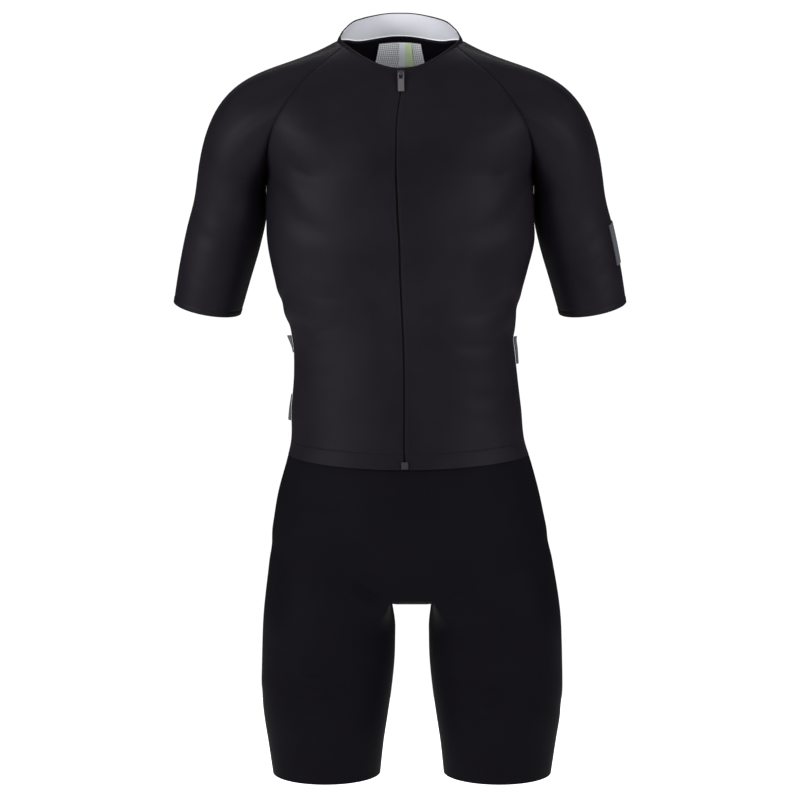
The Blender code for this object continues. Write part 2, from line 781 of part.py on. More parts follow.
def build_neck_patch(grounds, patch_finish, label_finish):
    depth = JERSEY_WALL + SEATING_GAP + PATCH_WALL
    patch = [patch_of(ground, PATCH_ROWS, PATCH_COLUMNS) for ground in grounds]
    laid_sheet("neck_patch", patch, -depth, PATCH_WALL, patch_finish)
    label = [patch_of(ground, LABEL_ROWS, columns) for ground, columns in zip(grounds, LABEL_COLUMNS)]
    laid_sheet("neck_label", label, -depth - SEATING_GAP - LABEL_WALL, LABEL_WALL, label_finish)


def build_back_pocket(grounds, finish):
    patches = [patch_of(ground, POCKET_ROWS, POCKET_COLUMNS) for ground in grounds]
    laid_sheet("back_pocket", patches, SEATING_GAP, POCKET_WALL, finish)


def build_tabs(coat, finish):
    for name, tab in TABS.items():
        ground = grounded(coat, jersey_back_grid(tab["side"]))
        patch = patch_of(ground, tab["rows"], tab["columns"])
        stands = [mix(*tab["stand"], i / (len(patch) - 1)) for i in range(len(patch))]
        laid_sheet(name, [patch], [(SEATING_GAP, stand) for stand in stands], TAB_WALL, finish)


def build_sleeve_strip(coat, finish):
    ground = grounded(coat, sleeve_grid(1))
    patch = patch_of(ground, STRIP_ROWS, STRIP_COLUMNS)
    laid_sheet("strip_left", [patch], SEATING_GAP, STRIP_WALL, finish)


def centre_front(z):
    """Point of the jersey's surface on the zip line."""
    if z > UNDERARM_Z:
        return yoke(FRONT_RAGLAN, 1, (z - FRONT_NECK_Z) / (UNDERARM_Z - FRONT_NECK_Z), 0)
    return trunk(1, 0, z)


# Zip slider, pull and end box, in a frame on the zip: x across, n out of the cloth, d down it
SLIDER_Z = -48.5
SLIDER_WIDTH = 8.5
SLIDER_LENGTH = 12
SLIDER_THICK = 2.0
WEB_WIDTH = 1.6
WEB_LENGTH = 8
WEB_OVERLAP = 0.5
BRIDGE_WIDTH = 2.4
BRIDGE_LENGTH = 8
BRIDGE_HEIGHT = 4.2
BRIDGE_SUNK = 0.2
BRIDGE_HOLE_RADIUS = 1.2
PIN_RADIUS = 0.7
PULL_WIDTH = 7.8
PULL_LENGTH = 24
PULL_THICK = 1.4
PULL_RAIL = 1.6
PULL_ABOVE_PIN = 1.2
WINDOW_LENGTH = 8.5
RAIL_OVERLAP = 0.8
RAIL_BEVEL = 0.2
PULL_TILT = 8.5
END_Z = -526
END_WIDTH = 9
END_LENGTH = 9
END_THICK = 2.4
EDGE_BEVEL = 0.35
PLATE_BEVEL = 0.6
ROD_SIDES = 16


def box(bm, centre, size):
    made = bmesh.ops.create_cube(bm, size=1)
    for vert in made["verts"]:
        vert.co = Vector([c + v * s for c, v, s in zip(centre, vert.co, size)])


def box_mesh(name, centre, size, bevel=EDGE_BEVEL):
    bm = bmesh.new()
    box(bm, centre, size)
    if bevel:
        bmesh.ops.bevel(bm, geom=bm.edges[:], offset=bevel, segments=2, affect="EDGES")
    bmesh.ops.scale(bm, vec=(MM, MM, MM), verts=bm.verts)
    mesh = bpy.data.meshes.new(name)
    bm.to_mesh(mesh)
    bm.free()
    return mesh


def rod_mesh(name, radius, length, centre):
    """A rod along X."""
    bm = bmesh.new()
    along = Matrix.Translation(Vector(centre)) @ Matrix.Rotation(math.radians(90), 4, "Y")
    bmesh.ops.create_cone(
        bm, cap_ends=True, segments=ROD_SIDES,
        radius1=radius, radius2=radius, depth=length, matrix=along,
    )
    bmesh.ops.scale(bm, vec=(MM, MM, MM), verts=bm.verts)
    mesh = bpy.data.meshes.new(name)
    bm.to_mesh(mesh)
    bm.free()
    return mesh


def boolean(target, mesh, operation):
    """Join a scratch mesh to an object or cut it away, and apply the result."""
    tool = bpy.data.objects.new("tool", mesh)
    bpy.context.collection.objects.link(tool)
    tool.matrix_world = target.matrix_world
    modifier = target.modifiers.new("cut", "BOOLEAN")
    modifier.operation = operation
    modifier.object = tool
    modifier.solver = "EXACT"
    bpy.context.view_layer.update()
    graph = bpy.context.evaluated_depsgraph_get()
    result = bpy.data.meshes.new_from_object(target.evaluated_get(graph))
    target.modifiers.remove(modifier)
    target.data = result
    bpy.data.objects.remove(tool)


def zip_frame(z, lift):
    """Place on the zip line at level z, lift out of the cloth: x across, y into it, z up it."""
    here = centre_front(z)
    above = centre_front(z + 5)
    up = unit(above - here)
    across = vec(1, 0, 0)
    inward = unit(np.cross(up, across))
    across = np.cross(inward, up)
    spot = here - inward * lift
    frame = Matrix.Identity(4)
    for column, axis in enumerate((across, inward, up)):
        for row in range(3):
            frame[row][column] = axis[row]
    frame.translation = Vector(spot) * MM
    return frame


def build_slider(finish):
    frame = zip_frame(SLIDER_Z, 0)
    plate_out = SEATING_GAP + 0.5 * SLIDER_THICK
    plate_place = (0, -plate_out, 0)
    mesh = box_mesh("zip_slider", plate_place, (SLIDER_WIDTH, SLIDER_THICK, SLIDER_LENGTH), PLATE_BEVEL)
    slider = place("zip_slider", mesh, finish)
    slider.matrix_world = frame
    web_depth = SEATING_GAP + WEB_OVERLAP + JERSEY_WALL
    web_middle = JERSEY_WALL - 0.5 * web_depth
    boolean(slider, box_mesh("web", (0, web_middle, 0), (WEB_WIDTH, web_depth, WEB_LENGTH), 0), "UNION")
    bridge_base = SEATING_GAP + SLIDER_THICK
    bridge_out = bridge_base + 0.5 * BRIDGE_HEIGHT - BRIDGE_SUNK
    bridge_size = (BRIDGE_WIDTH, BRIDGE_HEIGHT, BRIDGE_LENGTH)
    boolean(slider, box_mesh("bridge", (0, -bridge_out, 0), bridge_size), "UNION")
    hole = (0, -hinge_height(), 0)
    boolean(slider, rod_mesh("hole", BRIDGE_HOLE_RADIUS, SLIDER_WIDTH, hole), "DIFFERENCE")


def hinge_height():
    return SEATING_GAP + SLIDER_THICK + 0.5 * BRIDGE_HEIGHT - 0.5 * BRIDGE_SUNK


def build_pull(finish):
    """The pull hangs from a pin in the slider's bridge, its free end close to the cloth.

    Its origin is on the pin's axis.
    """
    frame = zip_frame(SLIDER_Z, hinge_height())
    middle = 0.5 * PULL_WIDTH - 0.5 * PULL_RAIL
    plate_length = PULL_LENGTH - WINDOW_LENGTH + RAIL_OVERLAP
    plate_centre = (0, 0, -(WINDOW_LENGTH - PULL_ABOVE_PIN - RAIL_OVERLAP + 0.5 * plate_length))
    mesh = box_mesh("zip_pull", plate_centre, (PULL_WIDTH, PULL_THICK, plate_length))
    pull = place("zip_pull", mesh, finish)
    pull.matrix_world = frame @ Matrix.Rotation(math.radians(PULL_TILT), 4, "X")
    for way in (-1, 1):
        rail = (way * middle, 0, PULL_ABOVE_PIN - 0.5 * WINDOW_LENGTH)
        boolean(pull, box_mesh("rail", rail, (PULL_RAIL, PULL_THICK, WINDOW_LENGTH), RAIL_BEVEL), "UNION")
    boolean(pull, rod_mesh("pin", PIN_RADIUS, PULL_WIDTH - PULL_RAIL, (0, 0, 0)), "UNION")


def build_zip_end(finish):
    frame = zip_frame(END_Z, 0)
    out = SEATING_GAP + 0.5 * END_THICK
    mesh = box_mesh("zip_end", (0, -out, 0), (END_WIDTH, END_THICK, END_LENGTH), PLATE_BEVEL)
    place("zip_end", mesh, finish).matrix_world = frame


def main():
    for thing in list(bpy.data.objects):
        bpy.data.objects.remove(thing)
    finishes = {
        "jersey": material("jersey_knit", (0.013, 0.012, 0.014), 0.62),
        "shorts": material("shorts_knit", (0.008, 0.007, 0.009), 0.68),
    }
    light = material("collar_knit", (0.62, 0.63, 0.65), 0.75)
    mesh_cloth = material("mesh_cloth", (0.42, 0.43, 0.45), 0.8)
    label = material("label_film", (0.60, 0.66, 0.62), 0.5)
    tape = material("zip_tape_cloth", (0.010, 0.010, 0.011), 0.7)
    metal = material("zip_metal", (0.38, 0.38, 0.39), 0.38, 0.9)
    pull_metal = material("pull_plastic", (0.30, 0.30, 0.31), 0.45)
    reflective = material("reflective_film", (0.33, 0.33, 0.34), 0.4)
    coats = build_cloth(finishes)
    back = [grounded(coats["back"], jersey_back_grid(side)) for side in (-1, 1)]
    right = grounded(coats["front_right"], jersey_front_grid(-1))
    left = grounded(coats["front_left"], jersey_front_grid(1))
    build_zip_tape((right, left), tape)
    build_collar_lining(coats["collar"], light)
    build_neck_patch(back, mesh_cloth, label)
    build_back_pocket(back, finishes["jersey"])
    build_tabs(coats["back"], reflective)
    build_sleeve_strip(coats["sleeve_left"], reflective)
    build_slider(metal)
    build_pull(pull_metal)
    build_zip_end(metal)


main()
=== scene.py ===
"""Looks of the short-sleeved cycling skinsuit, standing open in its worn form with nobody in it.

The cloth follows the suit's own sections and seam lines, finely divided, as thin shells with
their creases, hems, seams and stitches. Tables are in millimetres and degrees, and the pieces
are in metres. +X is the viewer's right, the front faces -Y and +Z is up. Right and left in the
names are the wearer's.
"""

import math

import bpy
import numpy as np
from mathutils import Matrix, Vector
from mathutils.bvhtree import BVHTree
from mathutils.kdtree import KDTree


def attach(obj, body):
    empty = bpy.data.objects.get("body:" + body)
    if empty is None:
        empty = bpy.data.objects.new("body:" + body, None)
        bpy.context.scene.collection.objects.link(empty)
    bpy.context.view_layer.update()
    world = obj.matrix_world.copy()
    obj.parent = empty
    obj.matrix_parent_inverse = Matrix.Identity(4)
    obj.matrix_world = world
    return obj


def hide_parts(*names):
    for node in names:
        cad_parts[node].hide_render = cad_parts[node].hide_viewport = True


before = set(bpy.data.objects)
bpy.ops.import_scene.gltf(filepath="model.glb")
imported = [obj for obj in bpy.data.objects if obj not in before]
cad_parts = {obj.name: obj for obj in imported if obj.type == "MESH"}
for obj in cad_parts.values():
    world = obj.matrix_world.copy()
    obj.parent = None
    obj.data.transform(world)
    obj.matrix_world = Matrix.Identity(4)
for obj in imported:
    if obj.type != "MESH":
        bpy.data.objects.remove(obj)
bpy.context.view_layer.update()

MM = 0.001

# The wearer's right is at -X
SIDES = ((-1, "right"), (1, "left"))

# Camera of the photograph, in metres
CAMERA_PLACE = (0.0, -3.0, -0.155)
CAMERA_AIM = (0.0, 0.0, -0.4547)
CAMERA_LENS = 106.83
SENSOR = 36.0

# Walls of the cloth, and half the hairline that parts two panels at a seam
JERSEY_WALL = 1.2
SHORTS_WALL = 1.4
SEAM_HALF_GAP = 0.01
SEATING_GAP = 0.3
HEM_EDGE_GAP = 0.6
ZIP_HALF_SLOT = 1.5
SHARED_NORMAL_LIMIT = 0.5

# Levels of the main lines
UNDERARM_Z = -172
FRONT_NECK_Z = -42
BACK_NECK_Z = 4
HEM_CENTRE_Z = -532
WAIST_SEAM_Z = -524
INNER_LAYER_EDGE_ANGLE = 78
TUCK_DEPTH = 3.0
TUCK_FADE = 60
LEG_RING_Z = -750
LEG_LEAD = 8
LEG_HEM_Z = -935
GUSSET_SAG = 19
GUSSET_HANDLE = 24


def table(names, *rows):
    """A short table, kept as one array for each named column."""
    return dict(zip(names.split(), np.array(rows, float).T))


# Level sections of the trunk; the first row only sets the slope at the underarm
TRUNK = table(
    "z centre zip half side front back full_front full_back",
    (-140, 0, -5, 168.2, 16, -103, 111.5, 0.60, 0.60),
    (-172, 0, -5, 168.5, 13, -110, 114, 0.60, 0.60),
    (-195, 0, -4, 168.7, 10, -113, 115, 0.60, 0.60),
    (-220, 0, -3, 168.8, 7, -114, 114, 0.59, 0.60),
    (-250, 1, -1, 169, 4, -113, 110, 0.58, 0.59),
    (-290, 0, 0, 161, 2, -109, 103, 0.57, 0.58),
    (-331, 0, 2, 150, 0, -104, 96, 0.57, 0.57),
    (-375, 4, 4, 140.5, 0, -101, 91, 0.57, 0.57),
    (-420, 7, 5, 141.5, 0, -99, 91, 0.57, 0.57),
    (-465, 8, 5, 146, 2, -99, 96, 0.57, 0.57),
    (-508, 10, 5, 149, 4, -101, 106, 0.57, 0.58),
    (-530, 11, 6, 155, 5, -102, 111, 0.57, 0.58),
    (-570, 11, 9, 166, 7, -105, 121, 0.57, 0.58),
    (-616, 12, 12, 174.5, 8, -107, 128, 0.58, 0.58),
    (-650, 13.5, 14, 179.5, 8, -104, 127, 0.58, 0.58),
    (-675, 14.5, 14.5, 184, 8, -98, 119, 0.58, 0.58),
    (-700, 15, 15, 187.5, 8, -84, 100, 0.58, 0.58),
)
CHEST_LINE = table(
    "z y x",
    (-42, -67, 1), (-64, -78, 1), (-101, -92, -4), (-140, -103, -5),
    (-172, -110, -5), (-195, -113, -4),
)
BACK_LINE = table(
    "z y",
    (4, 64), (-20, 74), (-50, 87), (-85, 99), (-110, 107), (-140, 111.5), (-172, 114), (-195, 115),
)
FRONT_RAGLAN = table(
    "share x y z bow turn reach rise",
    (0.00, 70, -33, -11, 0.40, 50, 20, 0.30),
    (0.14, 91, -46, -28, 0.36, 36, 26, 0.12),
    (0.32, 119, -58, -53, 0.34, 25, 33, 0.05),
    (0.48, 137, -67, -76, 0.34, 27, 36, 0.02),
    (0.62, 151, -69, -98, 0.36, 36, 39, 0.00),
    (0.76, 160, -61, -120, 0.42, 51, 45, 0.00),
    (0.88, 165.5, -38, -145, 0.49, 66, 54, 0.00),
    (1.00, 168.5, 13, -172, 0.60, 90, 73.8, 0.00),
)
BACK_RAGLAN = table(
    "share x y z bow turn reach rise",
    (0.00, 62, 36, -3, 0.45, 44, 20, 0.10),
    (0.14, 82, 56, -20, 0.36, 31, 25, 0.08),
    (0.32, 110, 74, -46, 0.34, 21, 33, 0.04),
    (0.48, 131, 83, -71, 0.33, 19, 36, 0.02),
    (0.62, 147, 86, -95, 0.34, 25, 36, 0.00),
    (0.76, 158, 79, -119, 0.38, 38, 39, 0.00),
    (0.88, 164.5, 57, -145, 0.46, 56, 45, 0.00),
    (1.00, 168.5, 13, -172, 0.60, 90, 60.6, 0.00),
)
NECK_SIDE = (79, -2, -3)
SHOULDER_SLOPE = (0.86, 0.02, -0.51)
NECK_TURN = 150
SEAM_FAN = 0.55
RUN_STEP = 0.02

# How far the cloth runs straight on where a sleeve or thigh starts and ends, as a share of its length
SHOULDER_START = 0.38
SHOULDER_END = 0.33
SHOULDER_OVERHANG = 0.28
THIGH_STRAIGHT = 0.34
SLEEVE = table(
    "place inner_x inner_z outer_x outer_z y depth drop",
    (0.00, 169.8, -197, 256.5, -168, 26, 61, 6),
    (0.20, 169.8, -222, 261.5, -199, 32, 57, 7),
    (0.45, 177.5, -258, 272, -238, 36, 53, 8),
    (0.75, 191.8, -306, 282.5, -287, 40, 49, 8),
    (1.00, 204, -347, 290, -331, 44, 46, 8),
)
LEG = table(
    "z outer inner front back",
    (-750, 191.5, 21.2, -93, 98),
    (-784, 192.5, 22, -90, 91),
    (-829, 192.7, 26.5, -86, 82),
    (-860, 190, 31, -82, 76),
    (-893, 185, 36, -77, 70),
    (-935, 179, 40.5, -72, 65),
)
LEG_CENTRE = 15.5
LEG_LINE = table(
    "angle z",
    (0, -698), (7.5, -698), (19, -691), (31, -674), (43, -659), (55, -648), (67, -642), (90, -640),
    (113, -642), (125, -648), (137, -659), (149, -673), (161, -685), (172.5, -690), (180, -690),
)
GROIN_TURN = 48
COLLAR = table(
    "share height lean",
    (0.00, 2.6, 0.15),
    (0.34, 2.6, 0.25),
    (0.44, 6, 0.50),
    (0.54, 14.5, 0.58),
    (0.64, 24, 0.40),
    (0.74, 30.5, 0.25),
    (0.86, 32, 0.12),
    (1.00, 31.5, 0.10),
)

# Columns of the cloth, by angle round the trunk from the centre front, and where each meets a thigh
COLUMN_ANGLES = (0, 7.5, 19, 31, 43, 55, 67, 78, 90, 102, 113, 125, 137, 149, 161, 172.5, 180)
COLUMN = {
    "place": np.arange(17.0),
    "angle": np.array(COLUMN_ANGLES, float),
    "turn": GROIN_TURN + (360 - 2 * GROIN_TURN) / 14 * (np.arange(17.0) - 1),
}

# Soft creases, each along a bent line through three points: x and z on the front and back,
# y and z on the outer sides. depth below 0 makes a ridge.
FRONT_CREASES = table(
    "x1 z1 x2 z2 x3 z3 depth width",
    (-160, -176, -132, -222, -86, -242, 2.6, 13), (158, -180, 128, -226, 74, -246, 2.2, 14),
    (-162, -146, -140, -152, -112, -178, 1.5, 7), (162, -150, 136, -158, 112, -186, 1.2, 8),
    (-164, -166, -150, -186, -128, -202, 1.4, 6), (163, -172, 150, -196, 132, -206, 1.6, 7),
    (-138, -300, -104, -316, -66, -316, 1.5, 9), (140, -316, 110, -336, 70, -338, 1.9, 10),
    (-134, -352, -98, -360, -74, -352, 1.1, 7), (142, -362, 104, -380, 64, -374, 1.5, 9),
    (-132, -404, -108, -416, -82, -414, 0.9, 8), (146, -430, 112, -446, 84, -440, 1.0, 9),
    (-20, -300, -24, -350, -14, -398, 0.7, 8), (34, -262, 44, -318, 38, -372, 0.6, 9),
    (-70, -664, -44, -688, -22, -706, 3.6, 6), (50, -676, 58, -690, 66, -704, 2.6, 5),
    (-66, -640, -30, -662, -6, -672, 1.2, 9), (84, -640, 50, -660, 30, -670, 1.2, 9),
    (-24, -600, 4, -626, 18, -664, 0.8, 10), (-150, -575, -110, -590, -72, -584, 0.9, 10),
    (158, -590, 122, -608, 86, -600, 0.8, 10), (-138, -790, -108, -794, -74, -789, 1.6, 3.0),
    (-134, -806, -104, -811, -78, -808, 1.2, 2.6), (-128, -819, -98, -821, -70, -818, 1.5, 2.8),
    (-136, -836, -112, -839, -88, -836, 1.1, 2.8), (-124, -862, -98, -864, -76, -860, 1.0, 3.2),
    (80, -806, 108, -810, 142, -805, 1.5, 3.0), (86, -826, 116, -829, 140, -827, 1.1, 2.6),
    (78, -843, 102, -846, 134, -842, 1.4, 3.0), (92, -868, 116, -870, 138, -866, 0.9, 2.8),
    (-158, -760, -120, -772, -84, -764, 0.8, 7), (76, -770, 116, -782, 160, -772, 0.8, 7),
    (-258, -236, -240, -250, -214, -252, 1.1, 8), (254, -242, 236, -256, 208, -254, 1.0, 8),
    (-262, -296, -240, -306, -214, -300, 0.7, 7), (268, -286, 244, -300, 222, -300, 0.8, 7),
    (-196, -190, -206, -212, -226, -222, 1.4, 8), (198, -196, 208, -216, 230, -224, 1.2, 8),
)
BACK_CREASES = table(
    "x1 z1 x2 z2 x3 z3 depth width",
    (-156, -172, -118, -196, -70, -204, 1.8, 12), (152, -178, 116, -204, 66, -208, 1.6, 12),
    (-150, -206, -112, -232, -72, -236, 1.1, 9), (154, -212, 118, -240, 84, -244, 1.2, 9),
    (-136, -286, -92, -306, -40, -310, 1.9, 11), (138, -292, 96, -316, 46, -318, 1.7, 11),
    (-128, -322, -84, -338, -30, -338, 1.3, 9), (134, -330, 90, -348, 38, -346, 1.5, 9),
    (-36, -120, -30, -200, -34, -262, 0.9, 14), (34, -126, 30, -204, 36, -258, 0.9, 14),
    (-112, -690, -62, -716, -18, -700, 2.4, 10), (140, -690, 92, -716, 46, -700, 2.2, 10),
    (-124, -720, -78, -738, -34, -728, 1.2, 8), (150, -724, 104, -744, 62, -732, 1.3, 8),
    (-150, -560, -104, -580, -50, -576, 0.9, 10), (168, -566, 120, -588, 66, -582, 1.0, 10),
    (-140, -828, -98, -834, -56, -828, 1.0, 5), (-130, -850, -96, -854, -62, -849, 0.8, 4),
    (-136, -874, -104, -878, -70, -873, 0.6, 4), (84, -822, 122, -830, 162, -824, 0.9, 5),
    (92, -846, 124, -851, 158, -846, 0.8, 4), (88, -880, 118, -883, 150, -878, 0.6, 4),
    (-262, -240, -240, -254, -212, -250, 1.1, 8), (256, -236, 234, -250, 210, -250, 1.0, 8),
    (-266, -288, -246, -300, -222, -296, 0.8, 7), (268, -296, 246, -306, 222, -300, 0.7, 7),
    (-176, -152, -196, -168, -222, -176, 1.5, 9), (178, -158, 198, -174, 224, -180, 1.4, 9),
)
SIDE_CREASES = table(
    "way y1 z1 y2 z2 y3 z3 depth width",
    (-1, -40, -318, 0, -330, 44, -320, 1.4, 9), (-1, -30, -352, 8, -362, 40, -354, 1.0, 8),
    (1, -44, -324, 2, -338, 42, -326, 1.3, 9), (1, -34, -368, 6, -378, 46, -370, 1.1, 8),
    (-1, -40, -650, -4, -640, 40, -652, 0.9, 12), (1, -44, -644, 0, -636, 44, -648, 0.9, 12),
    (-1, -44, -822, -6, -832, 34, -826, 0.5, 10), (1, -40, -836, 0, -846, 40, -838, 0.5, 10),
)
CREASE_STEPS = 14
CREASE_REACH = 3.2
LIP_SHARE = 0.45
LIP_OFFSET = 1.7

# Hems and seams: bands stand out, fading by angle at the hem's ends, and the cloth dips towards a seam
SEAM_DIP = 0.75
SEAM_DIP_WIDTH = 2.2
HEM_BAND = 19
HEM_BAND_RISE = 0.55
HEM_FADE = (60, 84)
HEM_GROOVE = 0.45
GROOVE_OFFSET = 0.4
GROOVE_HALF = 0.8
CUFF_BAND = 6
TUBE_LENGTH = 153
CUFF_BAND_RISE = 0.4
BAND_STEP = 0.9


def runs(*stretches):
    """Values along stretches of (start, end, count), each starting where the last one ends."""
    parts = [np.linspace(start, end, count, endpoint=False) for start, end, count in stretches]
    return np.concatenate(parts + [[stretches[-1][1]]])


# How finely the cloth is divided
FRONT_PLACES = runs((0, 0.16, 3), (0.16, 0.48, 4), (0.48, 7.4, 36), (7.4, 8, 6))
SHORTS_PLACES = runs((0, 1, 4), (1, 7, 32), (7, 8, 6))
BACK_PLACES = 16 - SHORTS_PLACES[::-1]
YOKE_LAPS = runs((0, 0.012, 3), (0.012, 0.06, 4), (0.06, 0.96, 32), (0.96, 1, 3))
YOKE_SHARES = (1 - YOKE_LAPS)[::-1]
NECK_LAPS = runs((1, 2, 14))
TRUNK_SHARES = runs((0, 0.925, 74), (0.925, 0.942, 4), (0.942, 0.9515, 10), (0.9515, 0.99, 8), (0.99, 1, 4))
INNER_LAYER_SHARES = runs((9 / 11, 1, 12))
HIP_SHARES = runs((0, 0.05, 4), (0.05, 1, 34))
THIGH_SHARES = runs((0, 1, 28))
LEG_SHARES = runs((0, 0.98, 104), (0.98, 1, 4))
SHOULDER_DOWNS = runs((0, 0.04, 4), (0.04, 1, 32))
TUBE_DOWNS = runs((1, 1.93, 34), (1.93, 1.99, 10), (1.99, 2, 3))
INSEAM_TURNS = runs((0, GROIN_TURN, 12))
GUSSET_SHARES = runs((0, 1, 24))
COLLAR_UPS = runs((0, 0.9, 9), (0.9, 1, 4))


def read(source, name, at):
    """A smooth curve through one column of a table, read along the table's first column."""
    keys = next(iter(source.values()))
    values = source[name]
    if keys[0] > keys[-1]:
        keys, values = keys[::-1], values[::-1]
    slopes = np.gradient(values, keys)
    at = np.clip(at, keys[0], keys[-1])
    i = np.clip(np.searchsorted(keys, at) - 1, 0, len(keys) - 2)
    gap = keys[i + 1] - keys[i]
    s = (at - keys[i]) / gap
    rise = s * s * (3 - 2 * s)
    bend = gap * s * (1 - s) * ((1 - s) * slopes[i] - s * slopes[i + 1])
    return values[i] * (1 - rise) + values[i + 1] * rise + bend


def read_all(source, at):
    """Curves through every column of a table after its first."""
    return [read(source, name, at) for name in list(source)[1:]]


def angle_at(place):
    """The angle round the trunk at which a column of the cloth runs."""
    return read(COLUMN, "angle", place)


def vec(x, y, z):
    return np.stack(np.broadcast_arrays(x, y, z), -1).astype(float)


def unit(v):
    return v / np.maximum(np.linalg.norm(v, axis=-1, keepdims=True), 1e-9)


def mix(a, b, share):
    return a + (b - a) * share


def ease(start, end, at):
    """0 before start, 1 after end, and a soft step between."""
    s = np.clip((at - start) / (end - start), 0.0, 1.0)
    return s * s * (3 - 2 * s)


def bezier(a, b, c, d, t):
    t = np.asarray(t, float)[..., None]
    s = 1 - t
    return s**3 * a + 3 * s * s * t * b + 3 * s * t * t * c + t**3 * d


def bent(a, b, c, t):
    """A curve from a to c that passes b halfway."""
    handle = 2 * b - 0.5 * (a + c)
    return (1 - t) ** 2 * a + 2 * t * (1 - t) * handle + t**2 * c


def flow(start, normal, fold, end, beyond, straights, down):
    """A curve that leaves start along the cloth there, and arrives at end heading for beyond."""
    chord = end - start
    length = np.linalg.norm(chord, axis=-1, keepdims=True)
    flat = chord - normal * np.sum(chord * normal, -1, keepdims=True)
    leave = unit(mix(flat, chord, np.asarray(fold)[..., None]))
    near_end = end - unit(beyond - end) * length * straights[1]
    return bezier(start, start + leave * length * straights[0], near_end, end, down)


def trunk(side, angle, z, tuck=0.0):
    """Points of the trunk: 0 degrees is the centre front, 90 the side seam, 180 the centre back."""
    centre, zip_x, half, flank_y, front_y, back_y, full_front, full_back = read_all(TRUNK, z)
    half = half - tuck
    flank = vec(centre + side * half, flank_y, z)
    front = np.asarray(angle) <= 90
    middle = vec(np.where(front, zip_x, centre), np.where(front, front_y + tuck, back_y - tuck), z)
    full = np.where(front, full_front, full_back)
    turned = np.where(front, angle, 180 - np.asarray(angle)) / 90
    across = middle + vec(side * full * half, 0, 0)
    round_side = flank + vec(0, full * (middle[..., 1] - flank[..., 1]), 0)
    return bezier(middle, across, round_side, flank, turned)


def raglan(seam, side, share):
    return vec(side * read(seam, "x", share), read(seam, "y", share), read(seam, "z", share))


def raglan_row_direction(seam, side, share):
    """Direction of the front's or back's cloth across its raglan seam, away from the centre."""
    turn = np.radians(read(seam, "turn", share))
    backward = 1 if seam is FRONT_RAGLAN else -1
    return vec(side * np.cos(turn), backward * np.sin(turn), read(seam, "rise", share))


def yoke(seam, side, share, across):
    """Points of the chest or upper back: share runs down from the neckline, across from the centre."""
    if seam is FRONT_RAGLAN:
        z = mix(FRONT_NECK_Z, UNDERARM_Z, share)
        middle = vec(read(CHEST_LINE, "x", z), read(CHEST_LINE, "y", z), z)
    else:
        z = mix(BACK_NECK_Z, UNDERARM_Z, share)
        middle = vec(0, read(BACK_LINE, "y", z), z)
    end = raglan(seam, side, share)
    reach = read(seam, "reach", share)[..., None]
    near_middle = middle + vec(read(seam, "bow", share) * end[..., 0], 0, 0)
    near_end = end - reach * raglan_row_direction(seam, side, share)
    return bezier(middle, near_middle, near_end, end, across)


def back_yoke(side, share, place):
    """Points of the upper back, by share down from its neckline and column."""
    return yoke(BACK_RAGLAN, side, share, (180 - angle_at(place)) / 90)


def neck_side(side, share):
    """Neckline over the shoulder, from the front raglan seam (0) to the back one (1)."""
    start, end = raglan(FRONT_RAGLAN, side, 0.0), raglan(BACK_RAGLAN, side, 0.0)
    return bent(start, np.array(NECK_SIDE) * (side, 1, 1), end, np.asarray(share, float)[..., None])


def sleeve_ring(side, turn, place):
    """Points of the sleeve: turn 0 is the underarm, 90 the front, 180 the outer side, 270 the back."""
    inner_x, inner_z, outer_x, outer_z, y, depth, drop = read_all(SLEEVE, place)
    inner, outer = vec(inner_x, y, inner_z), vec(outer_x, y, outer_z)
    angle = np.radians(turn)[..., None]
    forward = vec(0, -depth, -drop)
    point = 0.5 * (inner + outer) - 0.5 * np.cos(angle) * (outer - inner) + np.sin(angle) * forward
    return point * (side, 1, 1)


def run_of(curve, share):
    """The way that a curve runs at a share of its length."""
    return curve(np.minimum(share + RUN_STEP, 1)) - curve(np.maximum(share - RUN_STEP, 0))


def seam_normal(seam, side, share):
    along = run_of(lambda at: raglan(seam, side, at), share)
    return unit(np.cross(along, raglan_row_direction(seam, side, share)))


def sleeve_start(side, lap):
    """Starts of sleeve columns, and the directions in which the cloth faces and folds there.

    lap runs round the armhole: 0 to 1 up the front seam, 1 to 2 along the neck, 2 to 3 down the back.
    """
    front_share, back_share = np.clip(1 - lap, 0, 1), np.clip(lap - 2, 0, 1)
    over = np.clip(lap - 1, 0, 1)
    along = run_of(lambda at: neck_side(side, at), over)
    neck_normal = -side * unit(np.cross(along, np.array(SHOULDER_SLOPE) * (side, 1, 1)))
    front_normal = side * seam_normal(FRONT_RAGLAN, side, front_share)
    back_normal = -side * seam_normal(BACK_RAGLAN, side, back_share)
    to_neck = ease(1, 1.25, lap)[..., None]
    to_back = ease(1.75, 2, lap)[..., None]
    normal = unit(mix(mix(front_normal, neck_normal, to_neck), back_normal, to_back))
    at_neck = ((lap > 1) & (lap < 2))[..., None]
    start = np.where(at_neck, neck_side(side, over), raglan(FRONT_RAGLAN, side, front_share))
    start = np.where((lap >= 2)[..., None], raglan(BACK_RAGLAN, side, back_share), start)
    return start, normal, ease(0.55, 0.95, np.maximum(front_share * (lap <= 1), back_share))


def sleeve_turn(lap):
    """Where a column of the sleeve meets its tube, fanned out so that it crosses the raglan seam."""
    front = NECK_TURN * np.clip(lap, 0, 1) ** SEAM_FAN
    back = 360 - NECK_TURN * np.clip(3 - lap, 0, 1) ** SEAM_FAN
    over = mix(NECK_TURN, 360 - NECK_TURN, lap - 1)
    return np.where(lap <= 1, front, np.where(lap >= 2, back, over))


